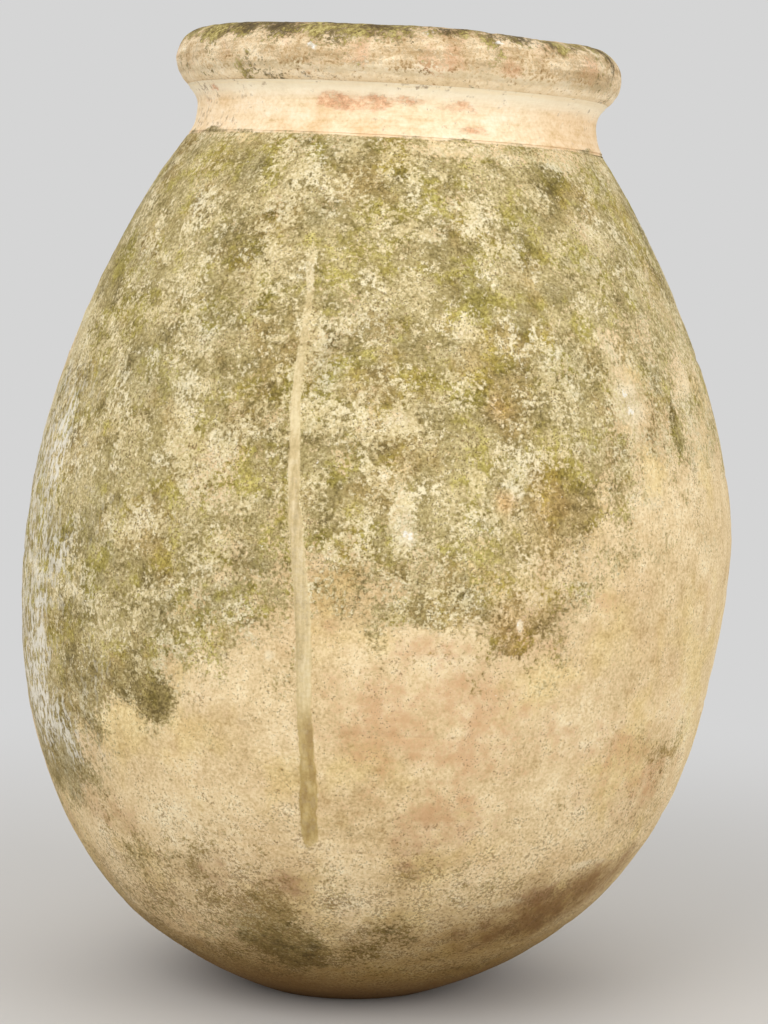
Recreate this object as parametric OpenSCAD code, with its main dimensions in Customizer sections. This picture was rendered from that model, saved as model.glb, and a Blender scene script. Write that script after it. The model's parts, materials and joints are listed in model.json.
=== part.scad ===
// Large coil-built terracotta olive jar with a rolled rim.
// Every ring turns about the jar's own axis. The axis leans a little, as the fired
// jar does, and the foot is cut flat where it stands. Lengths are in millimetres.

/* [Foot] */
// Radius of the flat that the jar stands on
foot_r = 105; // [95:1:115]
// Rise of the wall as it leaves the foot, in degrees above level
foot_rise = 22; // [18:1:28]
// Thickness of the floor slab
floor_t = 34; // [26:1:44]
// Height where the first lift of wall is luted to the slab
slab_joint_z = 83; // [76:1:92]

/* [Body] */
// Largest outer radius of the body
belly_r = 363; // [350:1:378]
// Height of the largest radius
belly_z = 447; // [425:1:465]
// Thickness of the wall
wall_t = 28; // [22:1:34]
// How far the curve runs out along the foot's rise before it turns up
foot_reach = 150; // [135:1:168]
// How far below its widest point the wall is already turning plumb
lower_fullness = 284; // [250:2:300]
// How far above its widest point the wall stays near plumb
upper_fullness = 179; // [155:1:205]
// Height of the first lift's top edge
lift_1_z = 199; // [189:1:209]
// Height of the second lift's top edge
lift_2_z = 315; // [305:1:325]
// Height of the third lift's top edge
lift_3_z = 431; // [421:1:441]
// Height of the fourth lift's top edge
lift_4_z = 547; // [537:1:557]
// Height of the fifth lift's top edge
lift_5_z = 663; // [653:1:673]
// Height of the sixth lift's top edge
lift_6_z = 779; // [769:1:789]
// Tilt of each luted joint across the wall, in degrees, higher inside
joint_tilt = 18; // [8:1:26]

/* [Neck] */
// Height where the shoulder meets the neck
neck_z = 862; // [845:1:875]
// Outer radius of the neck where it is narrowest
neck_r = 202; // [196:1:210]
// Thickness of the neck's wall, from its narrowest face in to the mouth
neck_wall_t = 32; // [26:1:38]
// Slope of the shoulder where it meets the neck, in degrees from plumb
shoulder_slope = 38; // [30:1:42]
// How far down the shoulder that slope carries
shoulder_reach = 50; // [36:1:60]
// Radius of the hollow between shoulder and neck
neck_hollow_r = 46; // [36:1:54]
// Height of the plumb band between the hollow and the flare under the roll
neck_plumb_h = 1.5; // [0.5:0.5:8]
// Slope of the neck where its flare meets the roll, in degrees from plumb
neck_flare = 55; // [48:1:60]

/* [Rim] */
// Radius of the rolled rim's section
roll_r = 31; // [29:0.5:34]
// How far the roll stands out past the neck
roll_overhang = 24.5; // [21:0.5:27]

/* [Coats] */
// Thickness of the glaze inside
glaze_t = 1.4; // [1:0.1:2.5]
// Thickness of the pale slip round the neck
slip_t = 0.9; // [0.6:0.1:1.5]
// Depth of bare clay between the slip and each joint at its edges
slip_margin = 3; // [2:0.5:5]

/* [Run down the front] */
// Height where the run starts, below the neck
run_top_z = 775; // [745:1:805]
// Height where the run ends
run_end_z = 194; // [170:1:230]
// Width of the run at its head
run_head_w = 7; // [5:0.5:9]
// Width of the run at its foot
run_foot_w = 17; // [14:0.5:20]
// Thickness of the run along its middle
run_t = 2.2; // [1.5:0.1:3.5]
// Where the run leaves the shoulder, in degrees left of the front
run_head_turn = 16; // [12:0.5:22]
// Where the run ends, in degrees left of the front
run_foot_turn = 7; // [4:0.5:11]

/* [Stance] */
// Lean of the jar's axis out of plumb, in degrees
lean = 2; // [0:0.25:3]

/* [Hidden] */

$fn = 240;
curve_steps = 22;
hollow_steps = 6;
run_steps = 44;
far_r = belly_r * 1.5;

// The wall is carried this far below the standing plane, so that the leaning foot can be cut flat
sole_allowance = foot_r * sin(lean) + 6;

// The neck turns plumb at the top of its hollow
neck_foot_r = neck_r + neck_hollow_r * (1 - cos(shoulder_slope));
neck_plumb_z = neck_z + neck_hollow_r * sin(shoulder_slope);

// The flare is an arc that leaves the plumb band and meets the roll at one slope
roll_c = neck_r + roll_overhang - roll_r;
neck_flare_r = (roll_c + roll_r * cos(neck_flare) - neck_r) / (1 - cos(neck_flare));
flare_z = neck_plumb_z + neck_plumb_h;
rim_seat_z = flare_z + neck_flare_r * sin(neck_flare);
roll_z = rim_seat_z + roll_r * sin(neck_flare);
mouth_r = neck_r - neck_wall_t;

// Joints of the wall, from the slab up to the neck
joint_zs = [slab_joint_z, lift_1_z, lift_2_z, lift_3_z, lift_4_z, lift_5_z, lift_6_z, neck_z];

lime = [0.74, 0.66, 0.47];
lichen = [0.56, 0.52, 0.30];
clay = [0.78, 0.62, 0.44];
slip_cream = [0.86, 0.77, 0.56];
rim_brown = [0.55, 0.46, 0.34];
glaze_green = [0.42, 0.40, 0.17];
run_ochre = [0.70, 0.61, 0.33];

// A point of the cubic curve with four control points
function cubic(p, u) = pow(1 - u, 3) * p[0] + 3 * pow(1 - u, 2) * u * p[1]
    + 3 * (1 - u) * pow(u, 2) * p[2] + pow(u, 3) * p[3];

// Direction of the same curve
function cubic_way(p, u) = 3 * pow(1 - u, 2) * (p[1] - p[0])
    + 6 * (1 - u) * u * (p[2] - p[1]) + 3 * pow(u, 2) * (p[3] - p[2]);

// The outer curve, from the foot to the widest point and on to the neck
lower_curve = [[foot_r, 0],
    [foot_r + foot_reach * cos(foot_rise), foot_reach * sin(foot_rise)],
    [belly_r, belly_z - lower_fullness],
    [belly_r, belly_z]];
upper_curve = [[belly_r, belly_z],
    [belly_r, belly_z + upper_fullness],
    [neck_foot_r + shoulder_reach * sin(shoulder_slope), neck_z - shoulder_reach * cos(shoulder_slope)],
    [neck_foot_r, neck_z]];

// The curve moved square to itself towards the inside of the jar
function inset_point(p, u, depth) = let (way = cubic_way(p, u))
    cubic(p, u) + depth * [-way[1], way[0]] / norm(way);

// Points of the body's curve at a depth below the outer face, from the foot up
function body_points(depth) = concat(
    [for (i = [0 : curve_steps - 1]) inset_point(lower_curve, i / curve_steps, depth)],
    [for (i = [0 : curve_steps]) inset_point(upper_curve, i / curve_steps, depth)]);

// Height on the outer curve turned into a radius, by halving
function solve_u(p, z, low, high, left) = let (mid = (low + high) / 2)
    left == 0 ? mid
    : cubic(p, mid)[1] < z ? solve_u(p, z, mid, high, left - 1) : solve_u(p, z, low, mid, left - 1);
function curve_at(z) = z < belly_z ? lower_curve : upper_curve;
function outer_u(z) = solve_u(curve_at(z), z, 0, 1, 30);
function outer_r(z) = cubic(curve_at(z), outer_u(z))[0];
function outer_way(z) = let (way = cubic_way(curve_at(z), outer_u(z))) way / norm(way);

// The hollow between shoulder and neck, an arc that starts on the shoulder's slope and ends plumb
function neck_points(proud) = [for (i = [0 : hollow_steps])
    let (turn = shoulder_slope * (1 - i / hollow_steps))
    [neck_r + neck_hollow_r - (neck_hollow_r - proud) * cos(turn),
        neck_plumb_z - (neck_hollow_r - proud) * sin(turn)]];

// The flare from the plumb band out to the roll
function flare_points(proud) = [for (i = [0 : hollow_steps])
    let (turn = neck_flare * i / hollow_steps)
    [neck_r + neck_flare_r - (neck_flare_r - proud) * cos(turn),
        flare_z + (neck_flare_r - proud) * sin(turn)]];

// Everything inside the outer face, up to the seat of the rim
module outer_region() {
    foot_run = sole_allowance / tan(foot_rise);
    polygon(concat(
        [[0, -sole_allowance], [foot_r - foot_run, -sole_allowance]],
        body_points(0),
        neck_points(0),
        flare_points(0),
        [[0, rim_seat_z]]));
}

// The inner face at a depth below the outer one, from the floor up to the throat
function inner_points(depth, floor_z, throat_r) =
    [for (p = body_points(depth)) if (p[1] > floor_z && (p[1] < belly_z || p[0] > throat_r)) p];

// Height where the inner face, going on at the shoulder's slope, reaches the throat
function throat_z(depth, throat_r) = let (top = inner_points(depth, floor_t, throat_r),
    last = top[len(top) - 1]) last[1] + (last[0] - throat_r) / tan(shoulder_slope);

// The hollow of the jar over its floor, with its throat carried up to a height
module hollow_region(depth, floor_z, throat_r, top_z) {
    inner = inner_points(depth, floor_z, throat_r);
    edge = inner[0];
    polygon(concat(
        [[0, floor_z], [edge[0] - (edge[1] - floor_z) / tan(foot_rise), floor_z]],
        inner,
        [[throat_r, throat_z(depth, throat_r)], [throat_r, top_z], [0, top_z]]));
}

// The clay of the jar below the rim
module wall_section() {
    difference() {
        outer_region();
        hollow_region(wall_t, floor_t, mouth_r, rim_seat_z + 1);
    }
}

// The side of a joint that lies below it, as a region of the section
module below_joint(z) {
    r = outer_r(min(z, neck_z));
    polygon([[0, -far_r], [far_r, -far_r],
        [far_r, z - (far_r - r) * tan(joint_tilt)],
        [0, z + r * tan(joint_tilt)]]);
}

module leaned() {
    rotate([0, lean, 0]) children();
}

// One ring of wall between two joints
module lift(bottom_z, top_z) {
    rotate_extrude() difference() {
        intersection() {
            wall_section();
            below_joint(top_z);
        }
        below_joint(bottom_z);
    }
}

module floor_slab() {
    color(clay) difference() {
        leaned() rotate_extrude() intersection() {
            wall_section();
            below_joint(slab_joint_z);
        }
        translate([-far_r, -far_r, -far_r]) cube([2 * far_r, 2 * far_r, far_r]);
    }
}

module foot_lift() {
    color(clay) leaned() lift(joint_zs[0], joint_zs[1]);
}

module lower_body_lift() {
    color(clay) leaned() lift(joint_zs[1], joint_zs[2]);
}

module lower_belly_lift() {
    color(lime) leaned() lift(joint_zs[2], joint_zs[3]);
}

module belly_lift() {
    color(lime * 0.95) leaned() lift(joint_zs[3], joint_zs[4]);
}

module upper_belly_lift() {
    color(lichen * 1.08) leaned() lift(joint_zs[4], joint_zs[5]);
}

module shoulder_lift() {
    color(lichen) leaned() lift(joint_zs[5], joint_zs[6]);
}

module upper_shoulder_lift() {
    color(lichen * 0.94) leaned() lift(joint_zs[6], joint_zs[7]);
}

module neck_collar() {
    color(clay * 0.95) leaned() rotate_extrude() difference() {
        wall_section();
        below_joint(neck_z);
    }
}

// A round roll seated on the flare, with a short stub that carries the throat up into it
module rolled_rim() {
    color(rim_brown) leaned() rotate_extrude() intersection() {
        union() {
            translate([roll_c, roll_z]) circle(r = roll_r);
            translate([mouth_r, rim_seat_z]) square([roll_c - mouth_r, roll_z - rim_seat_z]);
        }
        translate([mouth_r, rim_seat_z]) square([far_r, 3 * roll_r]);
    }
}

module glaze_lining() {
    color(glaze_green) leaned() rotate_extrude() difference() {
        hollow_region(wall_t, floor_t, mouth_r, throat_z(wall_t, mouth_r));
        hollow_region(wall_t + glaze_t, floor_t + glaze_t, mouth_r - glaze_t, rim_seat_z);
    }
}

module neck_slip() {
    low_z = neck_z + slip_margin;
    high_z = rim_seat_z - slip_margin;
    color(slip_cream) leaned() rotate_extrude() intersection() {
        difference() {
            polygon(concat(neck_points(slip_t), flare_points(slip_t), [[0, rim_seat_z], [0, neck_z]]));
            polygon(concat(neck_points(0), flare_points(0), [[0, rim_seat_z + 1], [0, neck_z - 1]]));
        }
        translate([0, low_z]) square([far_r, high_z - low_z]);
    }
}

// The run is one ribbon with a round foot, lying on the wall from its head down
function run_z(i) = run_top_z + (run_end_z - run_top_z) * i / run_steps;
function run_turn(i) = run_head_turn + (run_foot_turn - run_head_turn) * i / run_steps;
function run_half_w(i) = let (w = run_head_w + (run_foot_w - run_head_w) * i / run_steps,
    tail = run_z(i) - run_end_z)
    tail < w / 2 ? max(0.5, sqrt(max(0, pow(w / 2, 2) - pow(w / 2 - tail, 2)))) : w / 2;

module glaze_run() {
    seat_gap = 0.1;
    sides = [-1, -0.5, 0.5, 1];
    rise = [0.25, 1, 1, 0.25];
    rings = [for (i = [0 : run_steps]) let (z = run_z(i), r = outer_r(z), way = outer_way(z))
        concat(
            [for (k = [0 : 3]) let (
                turn = -90 - run_turn(i) + sides[k] * run_half_w(i) / r * 180 / PI,
                out = seat_gap + run_t * rise[k])
                [(r + out * way[1]) * cos(turn), (r + out * way[1]) * sin(turn), z - out * way[0]]],
            [for (k = [1 : -1 : 0]) let (
                turn = -90 - run_turn(i) + (2 * k - 1) * run_half_w(i) / r * 180 / PI)
                [(r + seat_gap * way[1]) * cos(turn), (r + seat_gap * way[1]) * sin(turn),
                    z - seat_gap * way[0]]])];
    count = 6;
    color(run_ochre) leaned() polyhedron(
        points = [for (ring = rings, p = ring) p],
        faces = concat(
            [[for (k = [0 : count - 1]) k]],
            [for (i = [0 : run_steps - 1], k = [0 : count - 1])
                let (a = i * count + k, b = i * count + (k + 1) % count)
                each [[a, a + count, b], [b, a + count, b + count]]],
            [[for (k = [count - 1 : -1 : 0]) run_steps * count + k]]));
}

floor_slab();
foot_lift();
lower_body_lift();
lower_belly_lift();
belly_lift();
upper_belly_lift();
shoulder_lift();
upper_shoulder_lift();
neck_collar();
rolled_rim();
glaze_lining();
neck_slip();
glaze_run();
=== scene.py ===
"""A large weathered terracotta olive jar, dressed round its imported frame.

The jar was coil-built in lifts that were luted on to each other, given a rolled rim, glazed
inside, and left outdoors until lichen and lime covered it. Every ring of clay is spun about
the jar's own axis, which leans a little. Relief and patina are functions of the place on the
jar, so they run across the joints between lifts. Lengths are in metres, turns in degrees
from the front, positive to the right.
"""

import json
import logging
import math
from dataclasses import dataclass, field
from enum import Enum

import bmesh
import bpy
import numpy as np
from mathutils import Matrix, Vector


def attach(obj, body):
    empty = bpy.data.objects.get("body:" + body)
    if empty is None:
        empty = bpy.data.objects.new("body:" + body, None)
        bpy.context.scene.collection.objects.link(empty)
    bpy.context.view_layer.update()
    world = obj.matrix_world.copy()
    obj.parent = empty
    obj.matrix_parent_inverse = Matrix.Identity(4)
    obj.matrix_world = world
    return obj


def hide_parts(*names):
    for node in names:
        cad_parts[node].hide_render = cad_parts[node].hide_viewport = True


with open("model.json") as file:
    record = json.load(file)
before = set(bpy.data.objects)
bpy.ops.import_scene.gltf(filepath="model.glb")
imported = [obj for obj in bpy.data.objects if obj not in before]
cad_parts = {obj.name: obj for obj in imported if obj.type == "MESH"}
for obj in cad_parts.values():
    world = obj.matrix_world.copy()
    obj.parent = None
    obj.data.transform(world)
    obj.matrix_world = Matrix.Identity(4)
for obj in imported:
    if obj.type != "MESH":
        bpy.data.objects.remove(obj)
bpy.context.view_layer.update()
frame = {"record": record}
LOG = logging.getLogger("olive_jar")
BODY = "root"
BAKE_UV = "OFBake"
Sockets = bpy.types.NodeSocket


class Coat(Enum):
    """The layers of weather on the clay, each a density from 0 to 1 on the mesh."""

    GROWTH = "growth"
    LIME = "lime"
    BLUSH = "blush"
    MOSS = "moss"
    STAIN = "stain"
    STREAK = "streak"


@dataclass(frozen=True)
class Patch:
    """One soft-edged patch of a coat, by its middle, half extents and strength."""

    turn: float
    height: float
    across: float
    tall: float
    strength: float


@dataclass(frozen=True)
class JarShape:
    """The driving sizes of the jar, the same as those of its construction."""

    foot_radius: float = 0.105
    foot_rise: float = 22.0
    foot_reach: float = 0.150
    floor: float = 0.034
    belly_radius: float = 0.363
    belly_height: float = 0.447
    lower_fullness: float = 0.284
    upper_fullness: float = 0.179
    wall: float = 0.028
    neck_height: float = 0.862
    neck_radius: float = 0.202
    neck_wall: float = 0.032
    shoulder_slope: float = 38.0
    shoulder_reach: float = 0.050
    hollow_radius: float = 0.046
    plumb: float = 0.0015
    flare: float = 55.0
    roll_radius: float = 0.031
    roll_overhang: float = 0.0245
    glaze: float = 0.0014
    slip: float = 0.0009
    slip_margin: float = 0.003
    joint_tilt: float = 18.0
    joints: tuple[float, ...] = (0.083, 0.199, 0.315, 0.431, 0.547, 0.663, 0.779, 0.862)

    @property
    def mouth_radius(self) -> float:
        """Radius of the mouth."""
        return self.neck_radius - self.neck_wall

    @property
    def roll_middle(self) -> float:
        """Radius of the middle of the roll's section."""
        return self.neck_radius + self.roll_overhang - self.roll_radius

    @property
    def flare_radius(self) -> float:
        """Radius of the curve that carries the neck out to meet the roll."""
        turn = math.cos(math.radians(self.flare))
        return (self.roll_middle + self.roll_radius * turn - self.neck_radius) / (1 - turn)

    @property
    def flare_height(self) -> float:
        """Height where the neck starts to flare."""
        slope = math.sin(math.radians(self.shoulder_slope))
        return self.neck_height + self.hollow_radius * slope + self.plumb

    @property
    def seat_height(self) -> float:
        """Height where the rim is luted to the neck."""
        return self.flare_height + self.flare_radius * math.sin(math.radians(self.flare))

    @property
    def roll_height(self) -> float:
        """Height of the middle of the roll's section."""
        return self.seat_height + self.roll_radius * math.sin(math.radians(self.flare))

    def curves(self) -> tuple[np.ndarray, np.ndarray]:
        """Gives the control points of the outer curve.

        Returns:
            The lower curve, foot to belly, and the upper one, belly to neck, each 4 by 2.
        """
        rise = math.radians(self.foot_rise)
        slope = math.radians(self.shoulder_slope)
        neck_foot = self.neck_radius + self.hollow_radius * (1 - math.cos(slope))
        lower = np.array([
            (self.foot_radius, 0.0),
            (self.foot_radius + self.foot_reach * math.cos(rise), self.foot_reach * math.sin(rise)),
            (self.belly_radius, self.belly_height - self.lower_fullness),
            (self.belly_radius, self.belly_height)])
        upper = np.array([
            (self.belly_radius, self.belly_height),
            (self.belly_radius, self.belly_height + self.upper_fullness),
            (neck_foot + self.shoulder_reach * math.sin(slope),
             self.neck_height - self.shoulder_reach * math.cos(slope)),
            (neck_foot, self.neck_height)])
        return lower, upper

    def body_line(self, depth: float, count: int = 160) -> np.ndarray:
        """Follows the wall of the body at a depth below its outer face.

        Args:
            depth: Distance below the outer face, square to it.
            count: Points on each of the two curves.

        Returns:
            Radius and height of each point, from the foot up to the neck.
        """
        parts = []
        for control in self.curves():
            u = np.linspace(0.0, 1.0, count)[:, None]
            point = ((1 - u) ** 3 * control[0] + 3 * (1 - u) ** 2 * u * control[1]
                     + 3 * (1 - u) * u ** 2 * control[2] + u ** 3 * control[3])
            way = (3 * (1 - u) ** 2 * (control[1] - control[0])
                   + 6 * (1 - u) * u * (control[2] - control[1])
                   + 3 * u ** 2 * (control[3] - control[2]))
            way /= np.linalg.norm(way, axis=1, keepdims=True)
            parts.append(point + depth * np.stack([-way[:, 1], way[:, 0]], axis=1))
        return np.concatenate([parts[0][:-1], parts[1]])

    def neck_line(self, proud: float = 0.0, count: int = 24) -> np.ndarray:
        """Follows the hollow of the neck and its flare up to the rim's seat.

        Args:
            proud: Distance outside the clay.
            count: Points on the hollow and on the flare.

        Returns:
            Radius and height of each point, upwards.
        """
        turn = np.radians(self.shoulder_slope) * np.linspace(1.0, 0.0, count)
        top = self.neck_height + self.hollow_radius * math.sin(math.radians(self.shoulder_slope))
        reach = self.hollow_radius - proud
        arc = np.stack([self.neck_radius + self.hollow_radius - reach * np.cos(turn),
                        top - reach * np.sin(turn)], axis=1)
        turn = np.radians(self.flare) * np.linspace(0.0, 1.0, count)
        reach = self.flare_radius - proud
        flare = np.stack([self.neck_radius + self.flare_radius - reach * np.cos(turn),
                          self.flare_height + reach * np.sin(turn)], axis=1)
        return np.concatenate([arc, flare])

    def outer_line(self) -> np.ndarray:
        """Gives the whole outer face, from just under the standing plane to the rim's seat."""
        rise = math.radians(self.foot_rise)
        below = 0.010
        start = [[self.foot_radius - below / math.tan(rise), -below]]
        return np.concatenate([start, self.body_line(0.0), self.neck_line()[1:]])

    def inner_line(self, depth: float, floor: float, throat: float) -> np.ndarray:
        """Gives the inner face over the floor, up through the throat.

        Args:
            depth: Thickness of wall outside this face.
            floor: Height of the floor.
            throat: Radius of the throat.

        Returns:
            Radius and height of each point, from the axis out and up.
        """
        line = self.body_line(depth)
        keep = (line[:, 1] > floor) & ((line[:, 1] < self.belly_height) | (line[:, 0] > throat))
        line = line[keep]
        slope = math.tan(math.radians(self.shoulder_slope))
        rise = math.tan(math.radians(self.foot_rise))
        edge = line[0, 0] - (line[0, 1] - floor) / rise
        top = line[-1, 1] + (line[-1, 0] - throat) / slope
        return np.concatenate([[[0.0, floor], [edge, floor]], line, [[throat, top]]])


def resample(line: np.ndarray, step: float) -> np.ndarray:
    """Spaces points evenly along a line.

    Args:
        line: Radius and height of each point.
        step: Spacing wanted.

    Returns:
        The evenly spaced points, with both ends kept.
    """
    gaps = np.linalg.norm(np.diff(line, axis=0), axis=1)
    run = np.concatenate([[0.0], np.cumsum(gaps)])
    count = max(2, int(round(run[-1] / step)) + 1)
    places = np.linspace(0.0, run[-1], count)
    return np.stack([np.interp(places, run, line[:, k]) for k in range(2)], axis=1)


def mottle(points: np.ndarray, scale: float | tuple[float, float, float], seed: int,
           octaves: int = 3) -> np.ndarray:
    """Smooth lattice noise, the same on every run.

    Args:
        points: Places, n by 3.
        scale: Cells per metre, one value or one for each axis.
        seed: Chooses the pattern.
        octaves: Layers, each twice as fine and half as strong.

    Returns:
        A value near -1 to 1 for each place.
    """
    total = np.zeros(len(points))
    strength = 1.0
    norm = 0.0
    base = points * np.asarray(scale, dtype=float) + 37.0 + 11.3 * seed
    for octave in range(octaves):
        place = base * 2.0 ** octave
        cell = np.floor(place).astype(np.int64)
        part = place - cell
        part = part * part * (3.0 - 2.0 * part)
        value = np.zeros(len(points))
        for corner in range(8):
            bits = np.array([corner & 1, corner >> 1 & 1, corner >> 2 & 1])
            key = (cell + bits) * np.array([73856093, 19349663, 83492791])
            mixed = (key[:, 0] ^ key[:, 1] ^ key[:, 2]) + seed * 40503 + octave * 977
            mixed = (mixed ^ mixed >> 13) * 1274126177 & 0xFFFFFFFF
            mixed = (mixed ^ mixed >> 16) & 0xFFFF
            share = np.prod(np.where(bits, part, 1.0 - part), axis=1)
            value += share * (mixed / 32767.5 - 1.0)
        total += strength * value
        norm += strength
        strength *= 0.5
    return total / norm * 1.4


def ease(value: np.ndarray, low: float, high: float) -> np.ndarray:
    """Smooth step from 0 at low to 1 at high."""
    part = np.clip((value - low) / (high - low), 0.0, 1.0)
    return part * part * (3.0 - 2.0 * part)


@dataclass
class JarSurface:
    """The jar's skin: where a place on it is, how it undulates and how weathered it is."""

    shape: JarShape = field(default_factory=JarShape)
    wobble: float = 0.0020
    hand_marks: float = 0.00045
    lumps: float = 0.0006
    crust: float = 0.00045
    lute_groove: float = 0.0009
    lute_width: float = 0.0035
    pits: int = 420
    sway_heights: tuple[float, ...] = (0.0, 0.06, 0.13, 0.22, 0.34, 0.48, 0.62, 0.80, 0.97)
    sway: tuple[float, ...] = (
        -0.0109, -0.0102, -0.0046, -0.0008, -0.0005, 0.0066, 0.0058, 0.0012, 0.0)
    edge_turns: tuple[float, ...] = (
        -180, -140, -100, -75, -56, -45, -36, -27, -18, -6, 3, 11, 20, 30, 36, 48, 70, 110, 150)
    edge_heights: tuple[float, ...] = (
        0.46, 0.40, 0.30, 0.24, 0.25, 0.29, 0.33, 0.37, 0.37, 0.42, 0.43, 0.43, 0.42, 0.46, 0.53,
        0.58, 0.60, 0.52, 0.44)

    def __post_init__(self) -> None:
        """Works out the leaned axis and the slope of the outer face from its line."""
        axis = next(m for m in frame["record"]["mounts"] if m["name"] == "mouth")["axis"]
        lean = Vector((0, 0, 1)).rotation_difference(Vector(axis))
        self.leaned = lean.to_matrix().to_4x4()
        self.line = self.shape.outer_line()
        way = np.gradient(self.line, axis=0)
        way /= np.linalg.norm(way, axis=1, keepdims=True)
        self.out = np.stack([way[:, 1], -way[:, 0]], axis=1)
        draw = np.random.default_rng(31)
        self.pit_turn = draw.uniform(-180, 180, self.pits)
        self.pit_height = draw.uniform(0.05, 0.85, self.pits)
        self.pit_size = draw.uniform(0.0022, 0.0060, self.pits)
        self.pit_depth = draw.uniform(0.0003, 0.0011, self.pits)
        far = draw.uniform(75, 285, 46), draw.uniform(0.10, 0.84, 46)
        size = draw.uniform(0.03, 0.09, 46), draw.uniform(0.03, 0.08, 46)
        coats = (Coat.MOSS, Coat.LIME, Coat.BLUSH, Coat.STAIN)
        self.patches = {coat: list(found) for coat, found in PATCHES.items()}
        for k in range(46):
            turn = far[0][k] if far[0][k] < 180 else far[0][k] - 360
            spot = Patch(turn, far[1][k], size[0][k], size[1][k], 0.75)
            self.patches[coats[k % 4]].append(spot)

    def radius_at(self, height: np.ndarray) -> np.ndarray:
        """Gives the outer radius at each height."""
        return np.interp(height, self.line[:, 1], self.line[:, 0])

    def gather(self, coat: Coat, turn: np.ndarray, height: np.ndarray, radius: np.ndarray,
               warp: np.ndarray) -> np.ndarray:
        """Adds up the placed patches of one coat.

        Args:
            coat: Which coat.
            turn: Turn of each place, in degrees.
            height: Height of each place along the axis.
            radius: Radius of each place.
            warp: Two columns of noise that fray the patches' edges.

        Returns:
            The density of the coat from its patches.
        """
        total = np.zeros(len(turn))
        for spot in self.patches.get(coat, ()):
            side = (turn - spot.turn + 180.0) % 360.0 - 180.0
            across = np.radians(side) * radius / spot.across + 0.55 * warp[:, 0]
            tall = (height - spot.height) / spot.tall + 0.55 * warp[:, 1]
            total += spot.strength * (1.0 - ease(np.hypot(across, tall), 0.25, 1.25))
        return total

    def coats(self, points: np.ndarray) -> dict[Coat, np.ndarray]:
        """Works out every coat's density.

        Args:
            points: Places in the jar's own upright frame, n by 3.

        Returns:
            A density from 0 to 1 for each coat and place.
        """
        turn = np.degrees(np.arctan2(points[:, 0], -points[:, 1]))
        height = points[:, 2]
        radius = np.hypot(points[:, 0], points[:, 1])
        warp = np.stack([mottle(points, 16.0, 3), mottle(points, 16.0, 4)], axis=1)
        broad = mottle(points, 5.0, 5)
        edge = np.interp(turn, self.edge_turns, self.edge_heights, period=360)
        loose = 0.06 * ease(turn, 8.0, 26.0) * ease(80.0 - turn, 0.0, 20.0)
        frayed = height + 0.035 * broad + 0.030 * warp[:, 0]
        growth = ease(frayed, edge - 0.11 - loose, edge + 0.12 + loose)
        growth = 0.04 + 0.80 * growth + 0.10 * broad * growth
        growth *= 1.0 - 0.35 * ease(height + 0.01 * warp[:, 0], 0.835, 0.868)
        foot_band = ease(0.235 - height + 0.05 * broad, 0.0, 0.10) * ease(height, 0.02, 0.06)
        seam = ease(self.shape.joints[1] - height + 0.002 * warp[:, 0], -0.002, 0.005)
        seam *= ease(-turn, 6.0, 14.0) * ease(turn, -62.0, -50.0)
        found = {coat: self.gather(coat, turn, height, radius, warp) for coat in Coat}
        growth += 0.18 * foot_band + 0.10 * seam + found[Coat.GROWTH] + 0.85 * found[Coat.MOSS]
        beside = np.abs((turn + 72.0 + 14.0 * warp[:, 0] + 180.0) % 360.0 - 180.0)
        tall = height + 0.05 * warp[:, 1]
        streak = ease(beside, 34.0, 2.0) * ease(tall, 0.18, 0.40) * ease(0.72 - tall, 0.0, 0.22)
        found[Coat.GROWTH] = growth - 0.30 * found[Coat.LIME] - 0.10 * found[Coat.BLUSH]
        found[Coat.STREAK] = found[Coat.STREAK] + 0.8 * streak
        return {coat: np.clip(value, 0.0, 1.0) for coat, value in found.items()}

    def relief(self, points: np.ndarray, growth: np.ndarray) -> np.ndarray:
        """Works out how far the skin stands out from the plain turned form.

        Args:
            points: Places in the jar's own upright frame, n by 3.
            growth: Density of lichen there.

        Returns:
            The distance outwards for each place.
        """
        turn = np.degrees(np.arctan2(points[:, 0], -points[:, 1]))
        height = points[:, 2]
        radius = np.hypot(points[:, 0], points[:, 1])
        rise = self.wobble * mottle(points, 2.6, 11, 2)
        rise += self.hand_marks * mottle(points, (5.0, 5.0, 58.0), 12, 2)
        rise += self.lumps * mottle(points, 17.0, 13, 2)
        rise += self.crust * growth * mottle(points, 130.0, 14, 2)
        fray = mottle(points, 12.0, 15, 2)
        for joint in self.shape.joints[:-1]:
            gap = (height - joint - 0.0012 * fray) / self.lute_width
            rise -= self.lute_groove * np.exp(-gap * gap) * ease(fray, -0.7, 0.6)
        low, high = height.min() - 0.01, height.max() + 0.01
        near = (self.pit_height > low) & (self.pit_height < high)
        for k in np.flatnonzero(near):
            side = (turn - self.pit_turn[k] + 180.0) % 360.0 - 180.0
            gap = np.hypot(np.radians(side) * radius, height - self.pit_height[k]) / self.pit_size[k]
            rise -= self.pit_depth[k] * np.exp(-(gap ** 4)) * (1.0 + 0.4 * fray)
        return rise

    def stand(self, points: np.ndarray) -> np.ndarray:
        """Sways the upright jar as the thrown clay settled, and leans it.

        Args:
            points: Places in the jar's own upright frame, n by 3.

        Returns:
            The same places in the part's frame.
        """
        moved = points.copy()
        moved[:, 0] += np.interp(points[:, 2], self.sway_heights, self.sway)
        turn = np.array(self.leaned.to_3x3())
        return moved @ turn.T

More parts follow.
